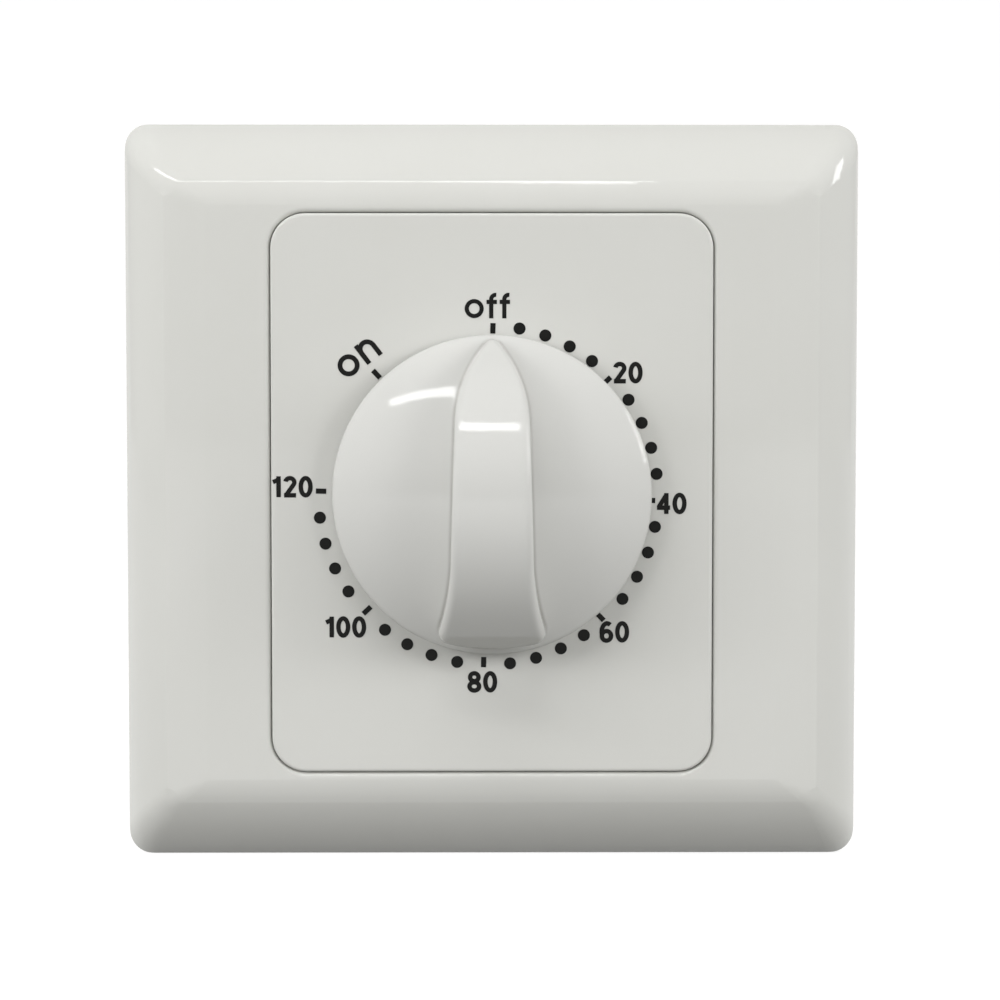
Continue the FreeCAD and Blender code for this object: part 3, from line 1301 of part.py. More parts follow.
def board_screws():
    """Three screws that hold the contact board on the rear plate."""
    master = new_body("board_screw")
    seat = BOARD_BACK
    turned(master, "Revolution", [
        ("0", REAR_PLATE), ("board_screw", REAR_PLATE), ("board_screw", seat),
        ("board_screw_head", seat), ("board_screw_head", seat + " + board_screw"),
        ("0", seat + " + board_screw")])
    group("board_screws", master, BOARD_POSTS)


def rear_casing():
    """Box behind the flange, with lugs, wire entries and holes for a screwdriver."""
    body = new_body("rear_casing")
    box = front_sketch(body)
    rounded(box, "0", "0", CASING_WIDTH, CASING_HEIGHT, "casing_corner")
    pad(body, box, CASING_DEPTH, towards_wall=True)
    back = value(CASING_DEPTH)
    dress(body, "Fillet", "Radius", "casing_edge", lambda edge: lies_at(edge, "Y", back))
    lugs = front_sketch(body)
    for side in (1, -1):
        for level in (1, -1):
            lug(lugs, side, level)
    pad(body, lugs, "lug_thickness", towards_wall=True)
    inside = front_sketch(body)
    rectangle(inside, "0", "0", CAVITY_WIDTH, CAVITY_HEIGHT)
    pocket(body, inside, CASING_DEPTH + " - casing_wall", towards_wall=True)
    holes = front_sketch(body)
    for side in (1, -1):
        circle(holes, "%d * terminal_x" % side, TERMINAL_Z, "driver_hole")
        for level in (1, -1):
            circle(holes, "%d * %s" % (side, LUG_X), "%d * lug_z" % level,
                   "casing_screw + run_clearance")
    pocket(body, holes, "2 * " + CASING_DEPTH, towards_wall=True)
    entries = new_sketch(body, "XY_Plane", "2 * casing_wall - %s / 2" % CASING_HEIGHT)
    for side in (1, -1):
        circle(entries, "%d * terminal_x" % side, WIRE_Y, "wire_hole")
    pocket(body, entries, "4 * casing_wall", towards_wall=True)
    vents = front_sketch(body)
    slot(vents, "0", "(%s / 4)" % CASING_HEIGHT, "vent_length", "(vent_width / 2)")
    feature = pocket(body, vents, "2 * " + CASING_DEPTH, towards_wall=True)
    pattern = body.newObject("PartDesign::LinearPattern", "vent_pattern")
    pattern.Originals = [feature]
    pattern.Direction = (vents, ["V_Axis"])
    pattern.Reversed = True
    bind(pattern, "Length", "vent_pitch * (vent_count - 1)")
    bind(pattern, "Occurrences", "vent_count")
    body.Tip = pattern
    sub_part(body, "rear_casing")


def lug(sketch, side, level):
    """Ear with a round end, drawn from inside the casing's wall outwards."""
    root = "%d * (%s / 2 - casing_wall / 2)" % (side, CASING_WIDTH)
    centre = "%d * %s" % (side, LUG_X)
    tip = "%d * (%s + lug_radius)" % (side, LUG_X)
    low = "%d * lug_z - lug_radius" % level
    middle = "%d * lug_z" % level
    high = "%d * lug_z + lug_radius" % level
    draw(sketch, [
        (root, low), (centre, low, "lug_radius", side), (tip, middle, "lug_radius", side),
        (centre, high), (root, high)])


def casing_screws():
    """Four self-tapping screws through the lugs into the flange's bosses."""
    master = new_body("casing_screw")
    tip = "(lug_thickness - casing_screw_length)"
    turned(master, "Revolution", [
        ("0", tip + " - casing_screw"), ("casing_screw", tip), ("casing_screw", "lug_thickness"),
        ("casing_screw_head", "lug_thickness"),
        ("casing_screw_top", "lug_thickness + casing_screw"), ("0", "lug_thickness + casing_screw")])
    driver = front_sketch(master, "0 - lug_thickness - casing_screw - cut_margin")
    rectangle(driver, "0", "0", "(3 * casing_screw_head)", "(casing_screw_head / 4)")
    pocket(master, driver, "casing_screw_slot")
    group("casing_screws", master, [("%d * %s" % (side, LUG_X), "%d * lug_z" % level)
                                    for side in (1, -1) for level in (1, -1)])


surround_frame()
face_plate()
knob()
knob_clip()
movement_screws()
movement_plates()
pillars()
main_arbor()
great_wheel()
ratchet()
mainspring()
spring_post()
train()
escape_wheel()
pallets()
switch_cam()
arbor_ring()
stop_pin()
contact_board()
board_screws()
contact_strips()
contact_rivet("moving_contact_rivet", "leaf_height + strip_thickness")
contact_rivet("fixed_contact_rivet", FIXED_STRIP_Z + " - contact_height")
terminals()
rear_casing()
casing_screws()
doc.recompute()

failed = [item.Label for item in doc.Objects if {"Invalid", "Error"} & set(item.State)]
if failed:
    raise RuntimeError("these objects failed: " + ", ".join(failed))
for item in SUB_PARTS:
    if item.Shape.isNull() or not item.Shape.isValid() or not item.Shape.Solids:
        raise RuntimeError("the shape of %s is not a valid solid" % item.Label)
os.makedirs("parts", exist_ok=True)
for item in SUB_PARTS:
    item.Shape.exportStep("parts/%s.step" % item.Label)
    print("%-24s %d solids, %9.2f mm3" % (item.Label, len(item.Shape.Solids), item.Shape.Volume))
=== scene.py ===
# %% [markdown]
# Countdown timer switch, dressed for its photograph.
# A square white wall plate holds a round pointer knob, and the plate's dial panel is printed with a scale.
# Behind the plate sits a spring-driven movement in a closed casing. All of it comes from the CAD model,
# which is loaded first and stays where it is: this lesson adds the printed scale, the plastics and
# metals, the light and the camera.

import json
import math

import bpy
from mathutils import Matrix, Vector


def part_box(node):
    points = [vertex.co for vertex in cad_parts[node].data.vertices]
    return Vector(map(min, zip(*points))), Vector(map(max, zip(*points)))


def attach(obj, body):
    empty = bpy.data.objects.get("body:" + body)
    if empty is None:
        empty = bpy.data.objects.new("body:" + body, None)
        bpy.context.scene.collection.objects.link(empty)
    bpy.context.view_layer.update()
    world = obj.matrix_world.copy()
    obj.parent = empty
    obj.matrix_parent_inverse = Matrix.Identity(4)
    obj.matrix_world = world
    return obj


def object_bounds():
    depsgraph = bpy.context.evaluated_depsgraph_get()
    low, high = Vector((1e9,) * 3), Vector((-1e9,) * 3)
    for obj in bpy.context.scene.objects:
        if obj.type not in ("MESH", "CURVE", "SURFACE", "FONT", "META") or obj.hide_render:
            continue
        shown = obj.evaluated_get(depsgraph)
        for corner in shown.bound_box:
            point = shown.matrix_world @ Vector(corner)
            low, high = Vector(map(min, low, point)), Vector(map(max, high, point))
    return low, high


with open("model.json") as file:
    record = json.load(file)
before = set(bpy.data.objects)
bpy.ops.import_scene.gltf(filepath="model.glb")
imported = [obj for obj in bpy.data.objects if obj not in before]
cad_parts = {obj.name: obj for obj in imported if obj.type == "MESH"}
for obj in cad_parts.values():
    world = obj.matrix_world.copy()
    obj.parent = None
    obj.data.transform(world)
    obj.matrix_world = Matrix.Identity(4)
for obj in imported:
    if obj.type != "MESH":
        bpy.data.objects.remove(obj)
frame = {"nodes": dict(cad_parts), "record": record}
cad_low, cad_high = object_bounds()
print("CAD box in mm:", [round(1000 * side, 1) for side in cad_high - cad_low])

# %% [markdown]
# Lengths on such a small product are easiest to think about in millimetres, but Blender works in metres.
# One factor does the change everywhere. The panel's front face, which carries the print, is read from
# the CAD box, so nothing has to be fitted by eye.

# %% Units, and the panel's front face
MM = 0.001
PANEL_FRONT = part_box("face_plate")[0].y
print("panel front at y =", round(PANEL_FRONT / MM, 2), "mm")

# %% [markdown]
# The product picture has no surroundings, only white. A floor that turns up into a wall without an edge,
# as in a photo studio, gives that. A plane with one edge extruded and bevelled would do as well, but a
# line swept across in code gives the same bend from three named sizes. The plate stands on the paper, so
# that light bounces on the product as it would on a table.

# %% The studio paper
PAPER_REACH = 1.6
PAPER_BEND = 0.5
BEND_STEPS = 24
FLOOR_GAP = 0.0001


def studio_paper(height):
    """A sweep of paper: floor, round bend and back wall in one sheet."""
    line = [(-PAPER_REACH, height)]
    for step in range(BEND_STEPS + 1):
        turn = math.radians(90.0 * step / BEND_STEPS)
        line.append((PAPER_REACH - PAPER_BEND + PAPER_BEND * math.sin(turn),
                     height + PAPER_BEND * (1 - math.cos(turn))))
    line.append((PAPER_REACH, height + PAPER_REACH))
    points = [(side * PAPER_REACH, y, z) for y, z in line for side in (-1, 1)]
    faces = [(2 * n, 2 * n + 1, 2 * n + 3, 2 * n + 2) for n in range(len(line) - 1)]
    mesh = bpy.data.meshes.new("studio_paper")
    mesh.from_pydata(points, [], faces)
    mesh.shade_smooth()
    for face in mesh.polygons:
        face.material_index = int(face.center.y > PAPER_REACH - PAPER_BEND)
    paper = bpy.data.objects.new("studio_paper", mesh)
    bpy.context.scene.collection.objects.link(paper)
    return paper


paper = studio_paper(cad_low.z - FLOOR_GAP)
print("paper stands", round(-paper.data.vertices[0].co.z / MM, 1), "mm under the knob's axis")

# %% [markdown]
# A material is a graph of nodes. Making and joining them takes many similar lines, so a few small
# helpers come first: one adds a node and sets its sockets, one joins two sockets, and one starts a new
# material. A socket's name may hold spaces and a Python word can't, so an underscore stands for a space.
# A Mix node has sockets A, B and Result for each kind of data. They are picked by number, and the numbers
# get names here.

# %% Helpers for node graphs
COLOUR_A, COLOUR_B, COLOUR_RESULT = 6, 7, 2
NUMBER_A, NUMBER_B = 2, 3


def add_node(tree, kind, **settings):
    """A node of that kind, with its sockets and options set."""
    node = tree.nodes.new(kind)
    for name, value in settings.items():
        if hasattr(node, name):
            setattr(node, name, value)
        else:
            node.inputs[name.replace("_", " ")].default_value = value
    return node


def join(tree, source, target):
    """Joins an output socket to an input socket."""
    tree.links.new(source, target)


def fresh_material(name):
    """A material with an empty graph and its output node."""
    material = bpy.data.materials.new(name)
    material.use_nodes = True
    material.node_tree.nodes.clear()
    return material, material.node_tree, material.node_tree.nodes.new("ShaderNodeOutputMaterial")


print("node helpers ready")

# %% [markdown]
# Paper is matt, so a diffuse shader does for it. A brighter lamp could turn it white, but the product
# would burn out with it. So the paper glows by itself, and only for the rays that show it: the Light
# Path node tells whether a ray comes from the camera, through a reflection or through glass, and the
# largest of its answers sets the glow. All other rays meet grey paper with the product's shadow on it.
# The wall glows for them too, as a light wall does, so that the product's back isn't dark.

# %% The paper's material
WHITE = (1.0, 1.0, 1.0, 1.0)
PAPER_TONE = (0.20, 0.20, 0.19, 1.0)
PAPER_GLOW = 0.9
FLOOR_LIGHT = 0.0
WALL_LIGHT = 1.15
SEEING_RAYS = ("Is Camera Ray", "Is Glossy Ray", "Is Transmission Ray")


def paper_material(name, light):
    """Plain paper, with one glow for the rays that see the background and another for all other rays."""
    material, tree, output = fresh_material(name)
    diffuse = add_node(tree, "ShaderNodeBsdfDiffuse", Color=PAPER_TONE)
    rays = add_node(tree, "ShaderNodeLightPath")
    seen = rays.outputs[SEEING_RAYS[0]]
    for kind in SEEING_RAYS[1:]:
        either = add_node(tree, "ShaderNodeMath", operation="MAXIMUM")
        join(tree, seen, either.inputs[0])
        join(tree, rays.outputs[kind], either.inputs[1])
        seen = either.outputs[0]
    strength = add_node(tree, "ShaderNodeMapRange", To_Min=light, To_Max=PAPER_GLOW)
    join(tree, seen, strength.inputs["Value"])
    glow = add_node(tree, "ShaderNodeEmission", Color=WHITE)
    join(tree, strength.outputs[0], glow.inputs["Strength"])
    both = add_node(tree, "ShaderNodeAddShader")
    join(tree, diffuse.outputs[0], both.inputs[0])
    join(tree, glow.outputs[0], both.inputs[1])
    join(tree, both.outputs[0], output.inputs["Surface"])
    return material


paper.data.materials.append(paper_material("studio_floor", FLOOR_LIGHT))
paper.data.materials.append(paper_material("studio_wall", WALL_LIGHT))
print("paper glow", PAPER_GLOW, "and wall light", WALL_LIGHT)

# %% [markdown]
# The photograph was taken from nearly straight in front, some 30 cm away and a little above the middle:
# the plate's upper edge comes out wider than the lower one, because it is nearer to the lens. A lens
# that frames the plate from that distance has about a 22 degree view. Two small angles, in degrees, turn
# the camera down and aside, which puts the knob at its place in the frame.

# %% The camera
CAMERA_PLACE = Vector((-0.8, -300.0, 14.1)) * MM
LOOK_DOWN = 2.91
LOOK_SIDE = 0.34
LENS = 90.9
SENSOR = 36.0


def photo_camera():
    """A camera at the photograph's place."""
    data = bpy.data.cameras.new("photo_camera")
    data.sensor_width = SENSOR
    data.lens = LENS
    data.clip_start = 10 * MM
    camera = bpy.data.objects.new("photo_camera", data)
    camera.location = CAMERA_PLACE
    down, side = math.radians(LOOK_DOWN), math.radians(LOOK_SIDE)
    aim = Vector((math.sin(side) * math.cos(down), math.cos(side) * math.cos(down), -math.sin(down)))
    camera.rotation_euler = aim.to_track_quat("-Z", "Y").to_euler()
    bpy.context.scene.collection.objects.link(camera)
    bpy.context.scene.camera = camera
    return camera


camera = photo_camera()
print("camera", round(camera.location.length, 3), "m from the plate, lens", LENS, "mm")

# %% [markdown]
# Two things light a glossy white product: the room, which fills everything softly, and lamps, which draw
# the bright lines on its bevels. A photographed room would need an image, so here the world is the room:
# a smooth level made from the direction that a ray looks in. It is brightest at its sides and dark below,
# so the plate's lower bevel and the heel of the knob come out darker. The camera sees it as pure white.

# %% Room light
ROOM_ABOVE = 0.18
ROOM_BELOW = 0.07
ROOM_SIDES = 1.05
ROOM_HORIZON = (-0.3, 0.8)
ROOM_TINT = (1.0, 1.0, 0.98, 1.0)


def room_light():
    """A world brightest at its sides, and pure white where the camera sees it."""
    world = bpy.data.worlds.new("room")
    world.use_nodes = True
    tree = world.node_tree
    tree.nodes.clear()
    output = tree.nodes.new("ShaderNodeOutputWorld")
    rays = add_node(tree, "ShaderNodeLightPath")
    place = add_node(tree, "ShaderNodeTexCoord")
    axes = add_node(tree, "ShaderNodeSeparateXYZ")
    join(tree, place.outputs["Generated"], axes.inputs[0])
    height = add_node(tree, "ShaderNodeMapRange", interpolation_type="SMOOTHSTEP",
                      From_Min=ROOM_HORIZON[0], From_Max=ROOM_HORIZON[1],
                      To_Min=ROOM_BELOW, To_Max=ROOM_ABOVE)
    join(tree, axes.outputs["Z"], height.inputs["Value"])
    room = add_node(tree, "ShaderNodeBackground", Color=ROOM_TINT)
    side = add_node(tree, "ShaderNodeMath", operation="MULTIPLY")
    join(tree, axes.outputs["X"], side.inputs[0])
    join(tree, axes.outputs["X"], side.inputs[1])
    level = add_node(tree, "ShaderNodeMath", operation="MULTIPLY_ADD")
    level.inputs[1].default_value = ROOM_SIDES
    join(tree, side.outputs[0], level.inputs[0])
    join(tree, height.outputs[0], level.inputs[2])
    join(tree, level.outputs[0], room.inputs["Strength"])
    backdrop = add_node(tree, "ShaderNodeBackground", Color=WHITE, Strength=1.0)
    mix = add_node(tree, "ShaderNodeMixShader")
    join(tree, rays.outputs["Is Camera Ray"], mix.inputs["Fac"])
    join(tree, room.outputs[0], mix.inputs[1])
    join(tree, backdrop.outputs[0], mix.inputs[2])
    join(tree, mix.outputs[0], output.inputs["Surface"])
    bpy.context.scene.world = world


room_light()
print("room light", ROOM_BELOW, "to", ROOM_ABOVE, "and", ROOM_SIDES, "more at the sides")

# %% [markdown]
# Three soft lamps, left, right and above, do the work of windows. They are left out of reflections, which
# then show one clear line: a long strip on the ceiling, in front and to the left. The upper bevel, the
# knob's left half and the arch of its grip each mirror a piece of it, so its slant sets theirs. A small
# lamp at the right only shows in reflections, as a glint on the knob's rim.

# %% Lamps
STRIP_ENDS = (Vector((-0.90, -0.50, 0.76)), Vector((0.06, -0.50, 0.52)))
STRIP_WIDTH = 0.07
STRIP_POWER = 2.0
GLINT_PLACE = Vector((0.80, -0.08, 0.28))
GLINT_SIZE = (0.2, 0.3)
GLINT_POWER = 1.2
WINDOW_SIZE = (0.35, 0.20)
WINDOWS = {
    "window_left": ((-0.45, -0.35, 0.15), 1.45),
    "window_right": ((0.45, -0.35, 0.15), 1.55),
    "window_above": ((-0.05, -0.25, 0.50), 0.55),
}


def soft_box(name, place, size, power):
    """A rectangular lamp that faces the product."""
    data = bpy.data.lights.new(name, "AREA")
    data.shape = "RECTANGLE"
    data.size, data.size_y = size
    data.energy = power
    lamp = bpy.data.objects.new(name, data)
    lamp.location = place
    lamp.rotation_euler = (-Vector(place)).to_track_quat("-Z", "Y").to_euler()
    bpy.context.scene.collection.objects.link(lamp)
    return lamp


def light_strip(name, ends, width, power):
    """A long narrow lamp between two points, turned towards the x axis and square to its own length."""
    along = ends[1] - ends[0]
    middle = (ends[0] + ends[1]) / 2
    lamp = soft_box(name, middle, (along.length, width), power)
    back = Vector((0, middle.y, middle.z)).normalized()
    back = (back - along.normalized() * back.dot(along.normalized())).normalized()
    axes = (along.normalized(), back.cross(along).normalized(), back)
    lamp.rotation_euler = Matrix(axes).transposed().to_euler()
    return lamp


ceiling_strip = light_strip("ceiling_strip", STRIP_ENDS, STRIP_WIDTH, STRIP_POWER)
for name, (place, power) in WINDOWS.items():
    window = soft_box(name, place, WINDOW_SIZE, power)
    window.visible_glossy = False
glint = soft_box("side_glint", GLINT_PLACE, GLINT_SIZE, GLINT_POWER)
glint.visible_diffuse = False
print("lamps:", ceiling_strip.name, glint.name, *WINDOWS)

# %% [markdown]
# Blender's usual view bends bright tones down, as film does, and turns a white product grey. The
# standard view shows each colour as it is written, which is what white on white needs.

# %% The image's tone
bpy.context.scene.view_settings.view_transform = "Standard"
print("view transform:", bpy.context.scene.view_settings.view_transform)

# %% [markdown]
# Glossy moulded plastic looks plain, yet a few faint effects make it real. Its colour drifts a little
# with the thickness behind it, its creases are painted darker as painted shade, its skin has a shallow
# orange peel, and handling leaves hairline marks that only show in the gloss. They could be painted on an
# image, but a node group needs no image and no unwrapping. They serve every plastic here, so each is a
# group with named inputs, built once and placed in each material with values of its own.

# %% A helper for group nodes


def new_group(name, inputs, outputs):
    """An empty shader node group. inputs holds name: (socket type, value), outputs name: socket type."""
    group = bpy.data.node_groups.new(name, "ShaderNodeTree")
    for socket, (kind, value) in inputs.items():
        made = group.interface.new_socket(socket, in_out="INPUT", socket_type=kind)
        made.default_value = value
    for socket, kind in outputs.items():
        group.interface.new_socket(socket, in_out="OUTPUT", socket_type=kind)
    return group, group.nodes.new("NodeGroupInput"), group.nodes.new("NodeGroupOutput")


FLOAT, COLOUR, VECTOR = "NodeSocketFloat", "NodeSocketColor", "NodeSocketVector"
print("group helper ready")

# %% [markdown]
# The colour comes first. Soft noise mixes two close shades. Dust specks are the middles of the few cells
# of a Voronoi pattern whose own random colour is over a limit. Creases are found by the Ambient Occlusion
# node with a reach of under a millimetre, and painted darker there: this is painted shade.

# %% Group: colour drift, dust specks and painted crease shade of a moulding
SPECK_CELLS = 170.0
SPECK_LIMIT = 0.93
SPECK_RIM = (0.05, 0.02)
SPECK_COLOUR = (0.25, 0.23, 0.2, 1)
CREASE_REACH = 0.0007
CREASE_RANGE = (0.92, 0.55)
# The dark tone that the painted shade in the creases mixes in.
CREASE_SHADE_COLOUR = (0.16, 0.15, 0.13, 1)


def moulded_colour_group():
    """Two close colours mixed by soft clouds, with sparse dark specks of dust and painted shade in the
    creases.
    """
    group, given, result = new_group(
        "moulded_colour_and_shade",
        {"Colour": (COLOUR, (0.8, 0.8, 0.8, 1)), "Drift colour": (COLOUR, (0.75, 0.75, 0.72, 1)),
         "Cloud size": (FLOAT, 60.0), "Specks": (FLOAT, 0.3), "Grime": (FLOAT, 0.3)},
        {"Colour": COLOUR})
    place = add_node(group, "ShaderNodeTexCoord")
    clouds = add_node(group, "ShaderNodeTexNoise", Detail=3.0, Roughness=0.5)
    join(group, place.outputs["Object"], clouds.inputs["Vector"])
    join(group, given.outputs["Cloud size"], clouds.inputs["Scale"])
    drift = add_node(group, "ShaderNodeMix", data_type="RGBA")
    join(group, clouds.outputs["Fac"], drift.inputs["Factor"])
    join(group, given.outputs["Colour"], drift.inputs[COLOUR_A])
    join(group, given.outputs["Drift colour"], drift.inputs[COLOUR_B])
    cells = add_node(group, "ShaderNodeTexVoronoi", Scale=SPECK_CELLS)
    join(group, place.outputs["Object"], cells.inputs["Vector"])
    pick = add_node(group, "ShaderNodeSeparateColor")
    join(group, cells.outputs["Color"], pick.inputs[0])
    chosen = add_node(group, "ShaderNodeMath", operation="GREATER_THAN")
    chosen.inputs[1].default_value = SPECK_LIMIT
    join(group, pick.outputs[0], chosen.inputs[0])
    close = add_node(group, "ShaderNodeMapRange", From_Min=SPECK_RIM[0], From_Max=SPECK_RIM[1])
    join(group, cells.outputs["Distance"], close.inputs["Value"])
    speck = add_node(group, "ShaderNodeMath", operation="MULTIPLY")
    join(group, chosen.outputs[0], speck.inputs[0])
    join(group, close.outputs[0], speck.inputs[1])
    strength = add_node(group, "ShaderNodeMath", operation="MULTIPLY")
    join(group, speck.outputs[0], strength.inputs[0])
    join(group, given.outputs["Specks"], strength.inputs[1])
    dusty = add_node(group, "ShaderNodeMix", data_type="RGBA")
    dusty.inputs[COLOUR_B].default_value = SPECK_COLOUR
    join(group, strength.outputs[0], dusty.inputs["Factor"])
    join(group, drift.outputs[COLOUR_RESULT], dusty.inputs[COLOUR_A])
    # Painted shade: where local ambient occlusion finds a crease, the colour is mixed towards a dark tone.
    crease = add_node(group, "ShaderNodeAmbientOcclusion", only_local=True, Distance=CREASE_REACH)
    depth = add_node(group, "ShaderNodeMapRange", From_Min=CREASE_RANGE[0], From_Max=CREASE_RANGE[1])
    join(group, crease.outputs["AO"], depth.inputs["Value"])
    crease_shade = add_node(group, "ShaderNodeMath", operation="MULTIPLY")
    join(group, depth.outputs[0], crease_shade.inputs[0])
    join(group, given.outputs["Grime"], crease_shade.inputs[1])
    crease_shaded = add_node(group, "ShaderNodeMix", data_type="RGBA")
    crease_shaded.inputs[COLOUR_B].default_value = CREASE_SHADE_COLOUR
    join(group, crease_shade.outputs[0], crease_shaded.inputs["Factor"])
    join(group, dusty.outputs[COLOUR_RESULT], crease_shaded.inputs[COLOUR_A])
    join(group, crease_shaded.outputs[COLOUR_RESULT], result.inputs["Colour"])
    return group


moulded_colour_and_shade = moulded_colour_group()
print("group:", moulded_colour_and_shade.name)

# %% [markdown]
# The skin decides how the moulding shines. Handling marks are noise stretched into hairs, which only
# roughen the gloss. Orange peel is a fine noise in a bump. The Bevel node rounds the normal at an edge,
# as a real mould does, where the mesh has a sharp corner. It feeds the bump, so one normal holds both.

# %% Group: the skin of a moulding
HAIR_STRETCH = (1.0, 1.0, 14.0)
HAIR_TURN = (0.0, 0.6, 0.0)
HAIR_RANGE = (0.64, 0.72)
BLOTCH_ROUGHNESS = 0.03
PEEL_HEIGHT = 0.0001
SOFT_EDGE_SAMPLES = 6


def moulded_skin_group():
    """Roughness with hairline handling marks, and a normal with a shallow orange peel and soft edges."""
    group, given, result = new_group(
        "moulded_skin",
        {"Roughness": (FLOAT, 0.2), "Marks": (FLOAT, 0.1), "Peel": (FLOAT, 0.05), "Peel size": (FLOAT, 500.0),
         "Edge radius": (FLOAT, 0.0005)},
        {"Roughness": FLOAT, "Normal": VECTOR})
    place = add_node(group, "ShaderNodeTexCoord")
    wave = add_node(group, "ShaderNodeTexNoise", Scale=90.0, Detail=2.0)
    join(group, place.outputs["Object"], wave.inputs["Vector"])
    stretch = add_node(group, "ShaderNodeMapping")
    stretch.inputs["Scale"].default_value = HAIR_STRETCH
    stretch.inputs["Rotation"].default_value = HAIR_TURN
    join(group, place.outputs["Object"], stretch.inputs["Vector"])
    hair = add_node(group, "ShaderNodeTexNoise", Scale=260.0, Detail=2.0)
    join(group, stretch.outputs[0], hair.inputs["Vector"])
    line = add_node(group, "ShaderNodeMapRange", From_Min=HAIR_RANGE[0], From_Max=HAIR_RANGE[1])
    join(group, hair.outputs["Fac"], line.inputs["Value"])
    marked = add_node(group, "ShaderNodeMath", operation="MULTIPLY_ADD")
    join(group, line.outputs[0], marked.inputs[0])
    join(group, given.outputs["Marks"], marked.inputs[1])
    join(group, given.outputs["Roughness"], marked.inputs[2])
    blotch = add_node(group, "ShaderNodeMath", operation="MULTIPLY_ADD")
    blotch.inputs[1].default_value = BLOTCH_ROUGHNESS
    join(group, wave.outputs["Fac"], blotch.inputs[0])
    join(group, marked.outputs[0], blotch.inputs[2])
    peel = add_node(group, "ShaderNodeTexNoise", Detail=1.0)
    join(group, place.outputs["Object"], peel.inputs["Vector"])
    join(group, given.outputs["Peel size"], peel.inputs["Scale"])
    soft_edge = add_node(group, "ShaderNodeBevel")
    soft_edge.samples = SOFT_EDGE_SAMPLES
    join(group, given.outputs["Edge radius"], soft_edge.inputs["Radius"])
    bump = add_node(group, "ShaderNodeBump", Distance=PEEL_HEIGHT)
    join(group, soft_edge.outputs[0], bump.inputs["Normal"])
    join(group, given.outputs["Peel"], bump.inputs["Strength"])
    join(group, peel.outputs["Fac"], bump.inputs["Height"])
    join(group, blotch.outputs[0], result.inputs["Roughness"])
    join(group, bump.outputs[0], result.inputs["Normal"])
    return group


moulded_skin = moulded_skin_group()
print("group:", moulded_skin.name)

# %% [markdown]
# Edges tell how a part was made. On plastic an edge is painted a touch lighter, which is painted light,
# and on sheet metal it is rubbed bright. A bevel node bends the normal near an edge, so comparing it with
# the true normal gives a mask of all edges, whatever the mesh looks like.

# %% Group: edges
EDGE_SAMPLES = 4
EDGE_RANGE = (0.995, 0.85)
BREAK_RANGE = (0.35, 0.65)


def edge_group():
    """A mask that is 1 on edges, broken up by noise."""
    group, given, result = new_group(
        "edge_mask", {"Radius": (FLOAT, 0.0003), "Break up": (FLOAT, 0.5)}, {"Mask": FLOAT})
    bevel = add_node(group, "ShaderNodeBevel")
    bevel.samples = EDGE_SAMPLES
    join(group, given.outputs["Radius"], bevel.inputs["Radius"])
    true_normal = add_node(group, "ShaderNodeNewGeometry")
    dot = add_node(group, "ShaderNodeVectorMath", operation="DOT_PRODUCT")
    join(group, bevel.outputs[0], dot.inputs[0])
    join(group, true_normal.outputs["Normal"], dot.inputs[1])
    edge = add_node(group, "ShaderNodeMapRange", From_Min=EDGE_RANGE[0], From_Max=EDGE_RANGE[1])
    join(group, dot.outputs["Value"], edge.inputs["Value"])
    place = add_node(group, "ShaderNodeTexCoord")
    noise = add_node(group, "ShaderNodeTexNoise", Scale=700.0, Detail=3.0)
    join(group, place.outputs["Object"], noise.inputs["Vector"])
    broken = add_node(group, "ShaderNodeMapRange", From_Min=BREAK_RANGE[0], From_Max=BREAK_RANGE[1])
    join(group, noise.outputs["Fac"], broken.inputs["Value"])
    keep = add_node(group, "ShaderNodeMix", data_type="FLOAT")
    keep.inputs[NUMBER_A].default_value = 1.0
    join(group, given.outputs["Break up"], keep.inputs["Factor"])
    join(group, broken.outputs[0], keep.inputs[NUMBER_B])
    mask = add_node(group, "ShaderNodeMath", operation="MULTIPLY")
    join(group, edge.outputs[0], mask.inputs[0])
    join(group, keep.outputs[0], mask.inputs[1])
    join(group, mask.outputs[0], result.inputs["Mask"])
    return group


edge_mask = edge_group()
print("group:", edge_mask.name)

# %% [markdown]
# A group is placed like any node, and its inputs are set by name, again with an underscore for a space.

# %% A helper that puts a group into a graph


def use_group(tree, group, **values):
    """Places a node group and sets its inputs."""
    node = tree.nodes.new("ShaderNodeGroup")
    node.node_tree = group
    for name, value in values.items():
        node.inputs[name.replace("_", " ")].default_value = value
    return node


print("group placer ready")
